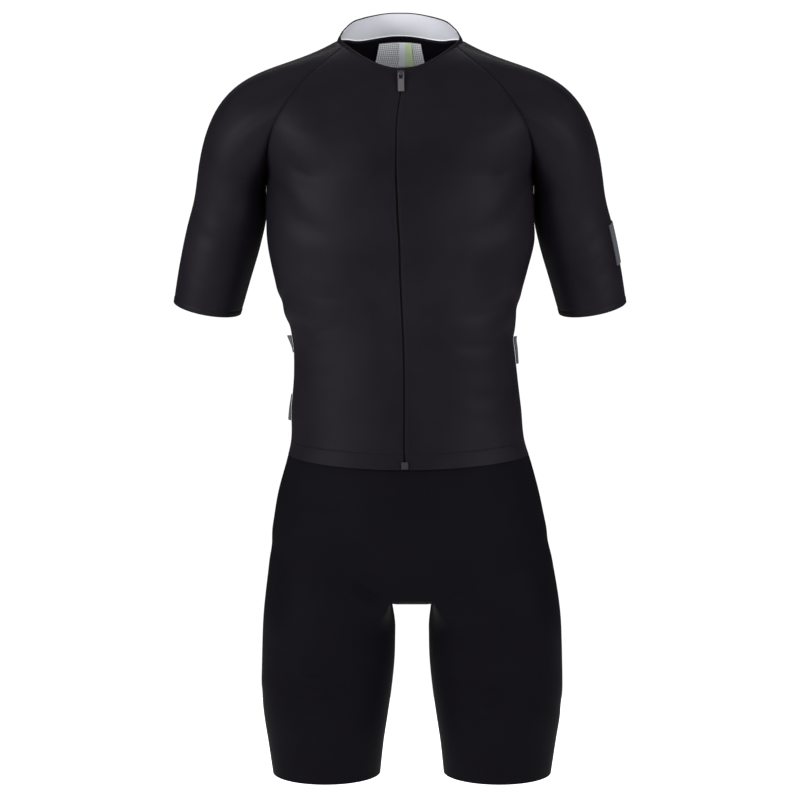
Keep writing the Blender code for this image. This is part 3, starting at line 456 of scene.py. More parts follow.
def sleeve(side, lap, down):
    """Points of the sleeve: down 0 to 1 is the shoulder and upper arm, 1 to 2 the tube to the cuff."""
    turn = sleeve_turn(lap)
    end, beyond = sleeve_ring(side, turn, 0.0), sleeve_ring(side, turn, 0.1)
    overhang = (0.5 - 0.5 * np.cos(np.radians(turn)))[..., None]
    straights = (SHOULDER_START, SHOULDER_END + SHOULDER_OVERHANG * overhang)
    upper = flow(*sleeve_start(side, lap), end, beyond, straights, np.clip(down, 0, 1))
    tube = sleeve_ring(side, turn, np.clip(down - 1, 0, 1))
    return np.where((down < 1)[..., None], upper, tube)


def leg_ring(side, turn, z):
    """Points of the leg: turn 0 is the inseam, 90 the front, 180 the outer side, 270 the back."""
    outer, inner, front, back = read_all(LEG, z)
    angle = np.radians(turn)
    x = 0.5 * (outer + inner) - 0.5 * (outer - inner) * np.cos(angle)
    y = 0.5 * (front + back) - 0.5 * (back - front) * np.sin(angle)
    return vec(LEG_CENTRE + side * x, y, z)


def gusset(side, across, along):
    """Strip between the legs: across 0 is its middle and 1 its edge, along 0 is front and 1 back."""
    edge = COLUMN_ANGLES[1]
    front = trunk(side, across * edge, read(LEG_LINE, "z", 0.0))
    back = trunk(side, 180 - across * edge, read(LEG_LINE, "z", 180.0))
    drop = GUSSET_SAG + back[..., 2:] - front[..., 2:]
    under_front = front + (0, GUSSET_HANDLE, -GUSSET_SAG)
    under_back = back + np.concatenate((0 * drop, 0 * drop - GUSSET_HANDLE, -drop), -1)
    return bezier(front, under_front, under_back, back, along)


def thigh_end(side, start, normal, fold, turn, down):
    end, beyond = (leg_ring(side, turn, z) for z in (LEG_RING_Z, LEG_RING_Z - LEG_LEAD))
    return flow(start, normal, fold, end, beyond, (THIGH_STRAIGHT, THIGH_STRAIGHT), down)


def outer_thigh(side, place, down):
    """Points of the thigh below the trunk, from the leg line (0) to the first level section (1)."""
    angle = angle_at(place)
    z = read(LEG_LINE, "z", angle)
    across = trunk(side, np.minimum(angle + 2, 180), z) - trunk(side, np.maximum(angle - 2, 0), z)
    upward = trunk(side, angle, z + 5) - trunk(side, angle, z - 5)
    normal = unit(np.cross(across, upward))
    fold = 1 - ease(10, 45, np.minimum(angle, 180 - angle))
    return thigh_end(side, trunk(side, angle, z), normal, fold, read(COLUMN, "turn", place), down)


def inner_thigh(side, turn, down):
    """Points of the thigh below the gusset's edge."""
    start = gusset(side, 1.0, 0.5 - 0.5 * turn / GROIN_TURN)
    return thigh_end(side, start, np.array((0.0, 0.0, 1.0)), 1.0, turn, down)


def jersey_hem(angle):
    """Level of the jersey's lower edge: a little lower at the zip, and the waist seam at the back."""
    return mix(HEM_CENTRE_Z, WAIST_SEAM_Z, ease(0, 90, angle))


def shorts_point(side, angle, z):
    """Points of the shorts, which pass inside the jersey's hem at the front."""
    under = (1 - ease(INNER_LAYER_EDGE_ANGLE, 90, angle)) * (np.asarray(angle) <= 90)
    tuck = TUCK_DEPTH * under * (1 - ease(-HEM_CENTRE_Z + 4, -HEM_CENTRE_Z + TUCK_FADE, -z))
    return trunk(side, angle, z, tuck)


def grid(rows, columns):
    """Row and column values for each point of a grid."""
    return np.meshgrid(rows, columns, indexing="ij")


def jersey_front(side):
    """Points of a front, and how far its hem's band stands out."""
    shares, places = grid(YOKE_SHARES[:-1], FRONT_PLACES)
    upper = yoke(FRONT_RAGLAN, side, shares, angle_at(places) / 90)
    shares, places = grid(TRUNK_SHARES, FRONT_PLACES)
    angle = angle_at(places)
    hem = jersey_hem(angle)
    band = hem_band((1 - shares) * (UNDERARM_Z - hem), HEM_BAND, HEM_BAND_RISE) * (1 - ease(*HEM_FADE, angle))
    lower = trunk(side, angle, mix(UNDERARM_Z, hem, shares))
    return np.vstack((upper, lower)), np.vstack((np.zeros(upper.shape[:2]), band))


def hem_band(up, width, rise):
    """The doubled cloth of a hem, with a groove where it is stitched down; up is the way from its edge."""
    band = rise * (1 - ease(width - BAND_STEP, width + BAND_STEP, up))
    return band - HEM_GROOVE * np.exp(-(((up - width - GROOVE_OFFSET) / GROOVE_HALF) ** 2))


def jersey_back(side):
    upper = back_yoke(side, *grid(YOKE_SHARES[:-1], BACK_PLACES))
    shares, places = grid(TRUNK_SHARES, BACK_PLACES)
    return np.vstack((upper, trunk(side, angle_at(places), mix(UNDERARM_Z, WAIST_SEAM_Z, shares))))


def sleeve_cloth(side):
    """Points of a sleeve, and how far its cuff's band stands out."""
    laps = np.concatenate((YOKE_LAPS[:-1], NECK_LAPS[:-1], 3 - YOKE_LAPS[::-1]))
    downs, laps = grid(np.concatenate((SHOULDER_DOWNS[:-1], TUBE_DOWNS)), laps)
    return sleeve(side, laps, downs), hem_band((2 - downs) * TUBE_LENGTH, CUFF_BAND, CUFF_BAND_RISE)


def inner_layer(side):
    shares, places = grid(INNER_LAYER_SHARES, SHORTS_PLACES[SHORTS_PLACES < 7.01])
    angle = angle_at(places)
    return shorts_point(side, angle, mix(UNDERARM_Z, jersey_hem(angle), shares))


def hips(side, places):
    shares, places = grid(HIP_SHARES, places)
    angle = angle_at(places)
    hem = np.where(angle > 90, WAIST_SEAM_Z, jersey_hem(np.minimum(angle, 90)))
    return shorts_point(side, angle, mix(hem, read(LEG_LINE, "z", angle), shares))


def leg(side, places, turns, inseam_first):
    """One half of a thigh: its columns under the trunk and those under the gusset's edge."""
    shares, wide = grid(THIGH_SHARES, places)
    outer = outer_thigh(side, wide, shares), read(COLUMN, "turn", places)
    turns = turns[:-1] if inseam_first else turns[1:]
    shares, narrow = grid(THIGH_SHARES, turns)
    inner = inner_thigh(side, narrow, shares), turns
    upper, around = zip(*((inner, outer) if inseam_first else (outer, inner)))
    levels, around = grid(mix(LEG_RING_Z, LEG_HEM_Z, LEG_SHARES[1:]), np.concatenate(around))
    return np.vstack((np.hstack(upper), leg_ring(side, around, levels)))


def neckline(side):
    """The neckline from the centre front to the centre back, with each point's share of the way."""
    front = yoke(FRONT_RAGLAN, side, 0.0, angle_at(FRONT_PLACES) / 90)
    over = neck_side(side, NECK_LAPS[1:-1] - 1)
    points = np.vstack((front, over, back_yoke(side, 0.0, BACK_PLACES)))
    lengths = np.concatenate(([0], np.cumsum(np.linalg.norm(np.diff(points, axis=0), axis=1))))
    return points, lengths / lengths[-1]


def collar_stand(side, ups=COLLAR_UPS, first=0.0):
    """Points of the collar above the neckline, leaning in towards the neck."""
    points, shares = neckline(side)
    points, shares = points[shares >= first], shares[shares >= first]
    inward = unit(points * (-1, -1, 0))
    height = ups[:, None] * read(COLLAR, "height", shares)
    return points + vec(0, 0, height) + inward * (height * read(COLLAR, "lean", shares))[..., None]


# Cloth as joined grids of quads

class Cloth:
    """Points, quads, corner places and normals of one panel."""

    def __init__(self, name, grids, flips, rises=()):
        corners, places, quads, start = [], [], [], 0
        for points, flip in zip(grids, flips):
            rows, columns = points.shape[:2]
            across = np.zeros((rows, columns))
            across[:, 1:] = np.cumsum(np.linalg.norm(np.diff(points, axis=1), axis=2), axis=1)
            down = np.zeros((rows, columns))
            down[1:] = np.cumsum(np.linalg.norm(np.diff(points, axis=0), axis=2), axis=0)
            corners.append(points.reshape(-1, 3))
            places.append(np.stack((across, down), -1).reshape(-1, 2))
            index = start + np.arange(rows * columns).reshape(rows, columns)
            sides = [index[:-1, :-1], index[:-1, 1:], index[1:, 1:], index[1:, :-1]]
            quads.append(np.stack([s.ravel() for s in (sides[::-1] if flip else sides)], -1))
            start += rows * columns
        corners, places, quads = np.vstack(corners), np.vstack(places), np.vstack(quads)
        keys = np.round(corners * 50).astype(np.int64)
        _, first, shared = np.unique(keys, axis=0, return_index=True, return_inverse=True)
        self.name = name
        self.points = corners[first]
        self.rise = np.concatenate([rise.ravel() for rise in rises])[first] if len(rises) else 0.0
        self.faces = shared.ravel()[quads]
        self.places = places[quads]
        whole = [len(set(face)) == 4 for face in self.faces.tolist()]
        self.faces, self.places = self.faces[whole], self.places[whole]
        self.keys = [tuple(key) for key in keys[first].tolist()]
        p, f = self.points, self.faces
        face_normals = np.cross(p[f[:, 2]] - p[f[:, 0]], p[f[:, 3]] - p[f[:, 1]])
        normals = np.zeros_like(p)
        for corner in range(4):
            np.add.at(normals, f[:, corner], face_normals)
        self.normals = unit(normals)

    def border(self):
        """Directed edges that only one face uses."""
        edges = np.vstack([self.faces[:, [i, (i + 1) % 4]] for i in range(4)])
        known = set(map(tuple, edges.tolist()))
        return [edge for edge in known if edge[::-1] not in known]


def share_normals(panels):
    """Give panels that run on smoothly over a seam the same normals there."""
    at_point = {}
    for panel in panels:
        for i in {i for edge in panel.border() for i in edge}:
            at_point.setdefault(panel.keys[i], []).append((panel, i))
    seam_points = []
    for users in at_point.values():
        own = [panel.normals[i].copy() for panel, i in users]
        for (panel, i), normal in zip(users, own):
            near = [other for other in own if np.dot(other, normal) > SHARED_NORMAL_LIMIT]
            panel.normals[i] = unit(sum(near))
        if len(users) > 1:
            seam_points.append(users[0][0].points[users[0][1]])
    return seam_points


def crease_heights(across, level, facing, creases):
    """Rise and fall of the cloth from one table of creases, where the cloth faces its way."""
    total = np.zeros(len(level))
    names = list(creases)[-8:]
    t = np.linspace(0, 1, CREASE_STEPS)[:, None]
    for *points, depth, width in zip(*(creases[name] for name in names)):
        line = bent(*np.reshape(points, (3, 2)), t)
        reach = CREASE_REACH * width
        low, high = line.min(0) - reach, line.max(0) + reach
        near = (across > low[0]) & (across < high[0]) & (level > low[1]) & (level < high[1]) & (facing > 0)
        if not near.any():
            continue
        spots = np.stack((across[near], level[near]), -1)[:, None]
        starts, runs_on = line[:-1], np.diff(line, axis=0)
        share = np.clip(np.sum((spots - starts) * runs_on, -1) / np.sum(runs_on**2, -1), 0, 1)
        gaps = spots - starts - share[..., None] * runs_on
        distance = np.linalg.norm(gaps, axis=-1)
        best = distance.argmin(1)
        pick = np.arange(len(best))
        length_share = (best + share[pick, best]) / (CREASE_STEPS - 1)
        taper = np.sin(np.pi * np.clip(0.06 + 0.88 * length_share, 0, 1)) ** 0.8
        gap, way = gaps[pick, best], runs_on[best]
        above = np.sign(way[:, 0] * gap[:, 1] - way[:, 1] * gap[:, 0]) * distance[pick, best] / width
        lips = np.exp(-((above - LIP_OFFSET) ** 2)) + 0.5 * np.exp(-((above + LIP_OFFSET) ** 2))
        total[near] += depth * taper * (LIP_SHARE * lips - np.exp(-(above**2))) * facing[near]
    return total


def creases_at(points, normals):
    """Rise and fall of the cloth at points, from the creases of the side that it faces."""
    x, y, z = points.T
    rise = crease_heights(x, z, ease(0.1, 0.5, -normals[:, 1]), FRONT_CREASES)
    rise += crease_heights(x, z, ease(0.1, 0.5, normals[:, 1]), BACK_CREASES)
    for way in (-1, 1):
        own = {name: values[SIDE_CREASES["way"] == way] for name, values in SIDE_CREASES.items()}
        outside = (way * x > 100) & (np.abs(x) < 210)
        rise += crease_heights(y, z, ease(0.4, 0.8, way * normals[:, 0]) * outside, own)
    return rise


def seam_dip(points, seams):
    """How far the cloth dips towards the nearest seam."""
    distance = np.array([seams.find(Vector(p))[2] for p in points])
    return SEAM_DIP * np.exp(-((distance / SEAM_DIP_WIDTH) ** 2))


def inset(panel, gap_at):
    """Move a panel's border in along its surface, so that neighbours stand apart at their seam."""
    inward = {}
    for a, b in panel.border():
        for i in (a, b):
            direction = np.cross(panel.normals[i], panel.points[b] - panel.points[a])
            inward.setdefault(i, []).append(unit(direction))
    moved = panel.points.copy()
    for i, directions in inward.items():
        total = sum(directions)
        closeness = max(np.dot(total, total) / len(directions) ** 2, 0.3)
        moved[i] += total / len(directions) / closeness * gap_at(panel.points[i])
    return moved


def border_gap(panel):
    """The gap along a panel's border; the fronts stand further apart at the zip."""
    if not panel.name.startswith("front"):
        return lambda point: SEAM_HALF_GAP

    def gap_at(point):
        if point[2] <= WAIST_SEAM_Z:
            return HEM_EDGE_GAP
        line, name = (TRUNK, "zip") if point[2] <= UNDERARM_Z else (CHEST_LINE, "x")
        return ZIP_HALF_SLOT if abs(point[0] - read(line, name, point[2])) < 1 else SEAM_HALF_GAP

    return gap_at


def link(name, data):
    thing = bpy.data.objects.new(name, data)
    bpy.context.collection.objects.link(thing)
    return thing


def mesh_piece(name, points, faces, finish, sharp=40, places=None):
    """A smooth piece, hard along its sharp edges, with the places of its cloth where it has them."""
    mesh = bpy.data.meshes.new(name)
    mesh.from_pydata((points * MM).tolist(), [], faces.tolist())
    if places is not None:
        mesh.uv_layers.new(name="cloth").data.foreach_set("uv", (places * MM).ravel())
    mesh.shade_smooth()
    mesh.set_sharp_from_angle(angle=math.radians(sharp))
    mesh.materials.append(finish)
    return link(name, mesh)


def shell(name, panel, outer, wall, finish):
    """A closed thin wall: the outer surface, the inner one under it and the rim between."""
    count = len(outer)
    points = np.vstack((outer, outer - panel.normals * wall))
    rim = np.array([[b, a, a + count, b + count] for a, b in sorted(panel.border())]).reshape(-1, 4)
    quads = np.vstack((panel.faces, panel.faces[:, ::-1] + count, rim))
    places = np.vstack((panel.places, panel.places[:, ::-1], np.zeros((len(rim), 4, 2)))).reshape(-1, 2)
    return mesh_piece(name, points, quads, finish, 50, places)


def make_panels():
    hip_front, leg_front = SHORTS_PLACES, SHORTS_PLACES[SHORTS_PLACES > 0.99]
    hip_back, leg_back = 16 - hip_front[::-1], 16 - leg_front[::-1]
    gusset_across = angle_at(SHORTS_PLACES[SHORTS_PLACES < 1.01]) / COLUMN_ANGLES[1]
    panels, backs, shorts_fronts, gussets, collars = [], [], [], [], []
    for side, word in SIDES:
        flip = side > 0
        for name, (points, rise) in (("front_", jersey_front(side)), ("sleeve_", sleeve_cloth(side))):
            panels.append(Cloth(name + word, [points], [flip], [rise]))
        backs.append(jersey_back(side))
        shorts_fronts += [inner_layer(side), hips(side, hip_front), leg(side, leg_front, INSEAM_TURNS, True)]
        back_half = [hips(side, hip_back), leg(side, leg_back, -INSEAM_TURNS[::-1], False)]
        panels.append(Cloth("shorts_back_" + word, back_half, [flip] * 2))
        along, across = grid(GUSSET_SHARES, gusset_across)
        gussets.append(gusset(side, across, along))
        collars.append(collar_stand(side))
    panels.append(Cloth("back", backs, [False, True]))
    panels.append(Cloth("shorts_front", shorts_fronts, [False] * 3 + [True] * 3))
    panels.append(Cloth("gusset", gussets, [False, True]))
    panels.append(Cloth("collar", collars, [True, False]))
    return panels


def dress(panels, finishes):
    """Build each panel's shell with its creases, seams and hems, and the tree of its outer faces."""
    seam_points = share_normals(panels)
    seams = KDTree(len(seam_points))
    for i, point in enumerate(seam_points):
        seams.insert(Vector(point), i)
    seams.balance()
    things, outers, trees, count = {}, [], [], 0
    for panel in panels:
        shorts = panel.name.startswith("shorts") or panel.name == "gusset"
        wall, finish = (SHORTS_WALL, "shorts") if shorts else (JERSEY_WALL, "jersey")
        moved = inset(panel, border_gap(panel))
        rise = creases_at(panel.points, panel.normals) - seam_dip(panel.points, seams) + panel.rise
        outer = moved + panel.normals * rise[:, None]
        things[panel.name] = shell(panel.name + "_cloth", panel, outer, wall, finishes[finish])
        outers.append(outer)
        trees.append(panel.faces + count)
        count += len(outer)
    surface = BVHTree.FromPolygons(np.vstack(outers).tolist(), np.vstack(trees).tolist())
    return things, surface


# Finishes

def linear(code):
    """Linear colour from an sRGB hex code."""
    channels = [int(code[i : i + 2], 16) / 255 for i in (1, 3, 5)]
    return tuple(c / 12.92 if c <= 0.04045 else ((c + 0.055) / 1.055) ** 2.4 for c in channels) + (1.0,)


def add_node(tree, kind, inputs=None, **settings):
    """Add a node: settings are its own properties, and inputs are values or the sockets that feed it."""
    made = tree.nodes.new("ShaderNode" + kind)
    for name, value in settings.items():
        setattr(made, name, value)
    for name, value in (inputs or {}).items():
        if isinstance(value, bpy.types.NodeSocket):
            tree.links.new(value, made.inputs[name])
        else:
            made.inputs[name].default_value = value
    return made


def gloss(rough, specular=0.5, metallic=0.0, sheen=0.0):
    """Values that are the same all over a finish."""
    return {"Roughness": rough, "Specular IOR Level": specular, "Metallic": metallic, "Sheen Weight": sheen}


def new_finish(name, constants):
    """A material, its node tree and its shader, with the values that are the same all over it."""
    made = bpy.data.materials.new(name)
    made.use_nodes = True
    shader = made.node_tree.nodes["Principled BSDF"]
    for socket, value in constants.items():
        shader.inputs[socket].default_value = value
    return made, made.node_tree, shader


def finish_with(tree, shader, shade, dark, light, height, strength, drop_mm):
    """Colour a shader between two shades, and raise its surface by a height."""
    colour = add_node(tree, "Mix", {0: shade, 6: linear(dark), 7: linear(light)}, data_type="RGBA")
    tree.links.new(colour.outputs[2], shader.inputs["Base Color"])
    bump = add_node(tree, "Bump", {"Height": height, "Strength": strength, "Distance": drop_mm * MM})
    tree.links.new(bump.outputs["Normal"], shader.inputs["Normal"])


def clamped(tree, value, low, high):
    """A value spread over 0 to 1 between two limits."""
    return add_node(tree, "MapRange", {"Value": value, "From Min": low, "From Max": high}).outputs["Result"]


def ribbed(tree, place, pitch_mm, direction):
    """Even ribs across a direction."""
    inputs = {"Vector": place, "Scale": WAVE_PERIOD / (pitch_mm * MM)}
    return add_node(tree, "TexWave", inputs, bands_direction=direction).outputs["Fac"]


def combine(tree, operation, *values):
    return add_node(tree, "Math", dict(enumerate(values)), operation=operation).outputs[0]


# Part of a unit that one period of a Wave texture of scale 1 takes
WAVE_PERIOD = 2 * math.pi / 20

# Noise of the knits, in periods to the metre: slow random patches of lighter colour, a painted patchy sheen,
# and loose fibres
SHEEN_PATCH_SCALE = 14.0
FUZZ_SCALE = 900.0


def knit(name, dark, light, wale_mm, course_mm, strength, constants):
    """A knit of upright wales and level courses, lighter in slow patches over the cloth: a painted patchy
    sheen.
    """
    made, tree, shader = new_finish(name, constants)
    place = add_node(tree, "UVMap", uv_map="cloth").outputs["UV"]
    wales, courses = ribbed(tree, place, wale_mm, "X"), ribbed(tree, place, course_mm, "Y")
    loops = combine(tree, "MULTIPLY", wales, courses)
    body = add_node(tree, "TexCoord").outputs["Object"]
    sheen_patches, fuzz = (
        add_node(tree, "TexNoise", {"Vector": body, "Scale": scale, "Detail": 2.0}).outputs["Fac"]
        for scale in (SHEEN_PATCH_SCALE, FUZZ_SCALE)
    )
    # The slow noise patches lighten the colour: a painted patchy sheen.
    shade = clamped(tree, combine(tree, "MULTIPLY_ADD", loops, 0.4, sheen_patches), 0.3, 1.0)
    height = combine(tree, "MULTIPLY_ADD", fuzz, 0.35, loops)
    finish_with(tree, shader, shade, dark, light, height, strength, 0.2)
    return made


def open_mesh(name, dark, light, hole_mm, constants):
    """An open mesh: pale yarn round rows of holes."""
    made, tree, shader = new_finish(name, constants)
    place = add_node(tree, "UVMap", uv_map="cloth").outputs["UV"]
    spacing = {"Vector": place, "Scale": 1 / (hole_mm * MM), "Randomness": 0.0}
    cells = add_node(tree, "TexVoronoi", spacing, voronoi_dimensions="2D", feature="F1")
    yarn = clamped(tree, cells.outputs["Distance"], 0.28, 0.46)
    finish_with(tree, shader, yarn, dark, light, yarn, 0.6, 0.4)
    return made


def two_tone_label(name, cool, green, constants):
    """A satin woven label of two plain halves that meet at one level of x."""
    made, tree, shader = new_finish(name, constants)
    body = add_node(tree, "TexCoord").outputs["Object"]
    x = add_node(tree, "SeparateXYZ", {"Vector": body}).outputs["X"]
    half = combine(tree, "GREATER_THAN", x, LABEL_SPLIT_X * MM)
    finish_with(tree, shader, half, cool, green, ribbed(tree, body, 0.8, "Z"), 0.15, 0.1)
    return made


def grained(name, dark, light, grain_mm, strength, constants):
    """A finish that varies by a fine grain: cast metal, moulded plastic, film or thread."""
    made, tree, shader = new_finish(name, constants)
    body = add_node(tree, "TexCoord").outputs["Object"]
    grain = add_node(tree, "TexNoise", {"Vector": body, "Scale": 1 / (grain_mm * MM), "Detail": 3.0})
    spread = clamped(tree, grain.outputs["Fac"], 0.3, 0.7)
    finish_with(tree, shader, spread, dark, light, grain.outputs["Fac"], strength, 0.1)
    return made


def make_finishes():
    return {
        # Polyester and elastane jersey knit, dyed black: soft broad highlights. Its 0.5 mm wales are
        # drawn at 1.6 mm so that they show.
        "jersey": knit("polyester_jersey_knit", "#0b090e", "#131016", 1.6, 1.3, 0.22, gloss(0.54, 0.05)),
        # Dense nylon and elastane compression knit: darker and flatter, with a finer loop.
        "shorts": knit("nylon_compression_knit", "#08070a", "#0b0a0d", 1.2, 1.0, 0.15, gloss(0.6, 0.01)),
        # Brushed knit of the collar's inner face: pale, matt and slightly hairy.
        "lining": knit("brushed_collar_knit", "#9a9aa1", "#acacb3", 1.4, 1.1, 0.35, gloss(0.85, sheen=0.05)),
        # Open polyester mesh, 2.6 mm from hole to hole.
        "mesh": open_mesh("open_polyester_mesh", "#a2a5ab", "#fcfcff", 2.6, gloss(0.8)),
        # Satin woven label: a soft gloss along its face.
        "label": two_tone_label("satin_woven_label", "#f2faff", "#dcf3c4", gloss(0.45, sheen=0.1)),
        # Woven polyester zip tape, dyed black.
        "tape": knit("woven_zip_tape", "#050506", "#0a090b", 1.0, 0.8, 0.4, gloss(0.75, 0.05)),
        # Moulded nylon coil of the zip: black with a small gloss.
        "teeth": grained("moulded_nylon_coil", "#050505", "#0a0a0b", 0.6, 0.1, gloss(0.45, 0.1)),
        # Die-cast zinc alloy, painted grey: satin, with a fine cast grain.
        "metal": grained("painted_zinc_alloy", "#2c2c2f", "#434346", 0.5, 0.12, gloss(0.36, metallic=0.7)),
        # Moulded grey pull with a satin skin.
        "pull": grained("moulded_grey_pull", "#333336", "#424244", 0.5, 0.15, gloss(0.42)),
        # Glass-bead reflective film: flat grey with a very fine grain.
        "film": grained("glass_bead_film", "#313236", "#434448", 0.35, 0.2, gloss(0.6, 0.05)),
        # Textured polyester sewing thread, dyed black like the cloth.
        "thread": grained("polyester_thread", "#09080a", "#131116", 0.4, 0.3, gloss(0.6, 0.1)),
        # Pale piping thread at the collar's lower edge.
        "piping": grained("pale_piping", "#c4c5ca", "#dcdde2", 0.4, 0.3, gloss(0.7)),
    }


# Pieces that lie on the cloth or behind it

ZIP_TAPE_HALF = 9
ZIP_TOP_Z = -43
ZIP_FOOT_Z = -528
ZIP_STITCH_OFFSET = 6.5
LINING_FROM_SHARE = 0.50
LINING_UP = (0.08, 0.96)
LAID_WALL = 1.0
POCKET_WALL = 1.2


def grid_normals(points):
    """Normals of a grid of points, on the side away from the suit's middle."""
    normals = unit(np.cross(np.gradient(points, axis=1), np.gradient(points, axis=0)))
    return normals * np.sign(np.sum(normals * points * (1, 1, 0)))


def laid_on(name, grids, lift, wall, finish):
    """A thin sheet over grids of the cloth's surface. lift is the height of its underside."""
    raised, flips = [], []
    for points in grids:
        normals = grid_normals(points)
        rise = creases_at(points.reshape(-1, 3), normals.reshape(-1, 3)).reshape(points.shape[:2])
        raised.append(points + normals * (rise + lift + wall)[..., None])
        turn = np.cross(raised[-1][0, 1] - raised[-1][0, 0], raised[-1][1, 0] - raised[-1][0, 0])
        flips.append(np.dot(turn, normals[0, 0]) < 0)
    sheet = Cloth(name, raised, flips)
    return shell(name, sheet, sheet.points, wall, finish)


def front_strip(side, levels, offsets):
    """Points of a front beside the zip, offsets being the way from its middle line."""
    level, offset = grid(levels, offsets)
    share = (np.maximum(level, UNDERARM_Z) - FRONT_NECK_Z) / (UNDERARM_Z - FRONT_NECK_Z)
    bow = read(FRONT_RAGLAN, "bow", share) * read(FRONT_RAGLAN, "x", share)
    upper = yoke(FRONT_RAGLAN, side, share, offset / (3 * bow))
    full_half = read(TRUNK, "full_front", level) * read(TRUNK, "half", level)
    lower = trunk(side, 90 * offset / (3 * full_half), level)
    return np.where((level > UNDERARM_Z)[..., None], upper, lower)


def back_place(side, shares, places):
    """Points of the jersey's back above the underarm, by share down and place across."""
    return back_yoke(side, *grid(shares, places))


def trunk_patch(side, levels, places):
    level, place = grid(levels, places)
    return trunk(side, angle_at(place), level)


def both(points_of, *divisions):
    """The grids of a piece's right and left halves."""
    return [points_of(side, *divisions) for side, _ in SIDES]


def blocks(name, centres, outs, size, finish):
    """Small blocks in a row down the zip, each narrower at its outer face."""
    ups = unit(np.gradient(centres, axis=0)) * -1
    across = unit(np.cross(ups, outs))
    half = 0.5 * np.array(size)
    corners = []
    for out, taper in ((-1, 1.0), (1, 0.7)):
        for side, up in ((-1, -1), (1, -1), (1, 1), (-1, 1)):
            shift = across * side * half[0] * taper + ups * up * half[1] * taper + outs * out * half[2]
            corners.append(centres + shift)
    points = np.stack(corners, 1).reshape(-1, 3)
    one = np.array(((3, 2, 1, 0), (4, 5, 6, 7), (0, 1, 5, 4), (1, 2, 6, 5), (2, 3, 7, 6), (3, 0, 4, 7)))
    faces = (one[None] + 8 * np.arange(len(centres))[:, None, None]).reshape(-1, 4)
    return mesh_piece(name, points, faces, finish)


def zip_line(levels):
    """The zip's middle line on the creased cloth, and the way out of it."""
    strip = np.stack([half[:, 0] for half in both(front_strip, levels, [2.0])], 1)
    outs = grid_normals(strip)[:, 0]
    middle = strip.mean(1)
    return middle + outs * creases_at(middle, outs)[:, None], outs


def to_and_fro(count):
    """1 and -1 by turns, starting with -1."""
    return np.where(np.arange(count) % 2, 1, -1)[:, None]


def build_zip_coil(finish):
    levels = np.arange(COIL_TOP_Z, COIL_FOOT_Z, -COIL_PITCH)
    middle, outs = zip_line(levels)
    sway = COIL_SWAY * to_and_fro(len(levels)) * np.array((1.0, 0, 0))
    return blocks("zip_coil", middle + outs * COIL_DEPTH + sway, outs, COIL_TOOTH, finish)


def on_cloth(surface, points):
    """The nearest places on the cloth, and the ways that it faces there."""
    hits = [surface.find_nearest(Vector(p)) for p in points]
    return np.array([hit[0] for hit in hits]), np.array([hit[1] for hit in hits])


def stitch_row(surface, line, pitch, length, sway):
    """Ends and facings of the stitches along a line: straight ones, or a zigzag that sways to each side."""
    gaps = np.linalg.norm(np.diff(line, axis=0), axis=1)
    reached = np.concatenate(([0], np.cumsum(gaps)))
    starts = np.arange(0.5 * pitch, reached[-1] - length, pitch)

    def along(s):
        return np.stack([np.interp(s, reached, line[:, i]) for i in range(3)], -1)

    begin, end = along(starts), along(starts + length)
    _, facing = on_cloth(surface, begin)
    way = unit(np.cross(end - begin, facing)) * sway * to_and_fro(len(starts))
    return on_cloth(surface, begin + way)[0], on_cloth(surface, end - way)[0], facing


def thread_mesh(name, rows, thick, finish):
    """Stitches as short lengths of thread that dip into the cloth at both ends."""
    begin, end, facing = (np.vstack(parts) for parts in zip(*rows))
    beside = unit(np.cross(end - begin, facing)) * 0.5 * thick
    middle = 0.5 * (begin + end)
    sink = facing * THREAD_SINK
    corners = (begin - sink, end - sink, middle - beside, middle + facing * thick * 0.8, middle + beside)
    points = np.stack((*corners, middle - sink), 1).reshape(-1, 3)
    one = np.array(((0, 3, 2), (0, 4, 3), (0, 5, 4), (0, 2, 5), (1, 2, 3), (1, 3, 4), (1, 4, 5), (1, 5, 2)))
    faces = (one[None] + 6 * np.arange(len(begin))[:, None, None]).reshape(-1, 3)
    return mesh_piece(name, points, faces, finish)


def flat_seams(side):
    """Middle lines of the seams below the raglan seams, which zigzag stitches join."""
    down, levels = np.linspace(0, 1, 30), np.linspace(LEG_RING_Z, LEG_HEM_Z + 1, 50)
    outer, inner = outer_thigh(side, np.full(30, 8.0), down), inner_thigh(side, np.full(30, 0.0), down)
    return [
        trunk(side, 90.0, np.linspace(*SIDE_SEAM_LEVELS, 120)),
        np.vstack((outer, leg_ring(side, 180.0, levels)[1:])),
        np.vstack((inner, leg_ring(side, 0.0, levels)[1:])),
        gusset(side, 1.0, np.linspace(*GUSSET_SEAM, 40)),
        trunk(side, np.linspace(*WAIST_SEAM_ANGLES, 70), WAIST_SEAM_Z),
    ]


def stitched_edges(side):
    """Lines of the straight rows along the neckline, hem, cuff and zip."""
    angles = np.linspace(*HEM_ROW_ANGLES, 90)
    hem = trunk(side, angles, jersey_hem(angles) + HEM_BAND)
    cuff = sleeve(side, np.linspace(0, 3, 120), np.full(120, 2 - CUFF_BAND / TUBE_LENGTH))
    beside_zip = front_strip(side, np.linspace(*ZIP_ROW_LEVELS, 160), [ZIP_STITCH_OFFSET])[:, 0]
    return [neckline(side)[0] - ROW_GAP, hem, hem - ROW_GAP, cuff, beside_zip]


def tube(name, points, radius, finish):
    curve = bpy.data.curves.new(name, "CURVE")
    curve.dimensions = "3D"
    curve.bevel_depth = radius * MM
    curve.bevel_resolution = 3
    curve.use_fill_caps = True
    spline = curve.splines.new("POLY")
    spline.points.add(len(points) - 1)
    spline.points.foreach_set("co", np.hstack((points * MM, np.ones((len(points), 1)))).ravel())
    curve.materials.append(finish)
    return link(name, curve)


def aim(thing, place, target):
    thing.location = place
    thing.rotation_euler = (Vector(target) - Vector(place)).to_track_quat("-Z", "Y").to_euler()


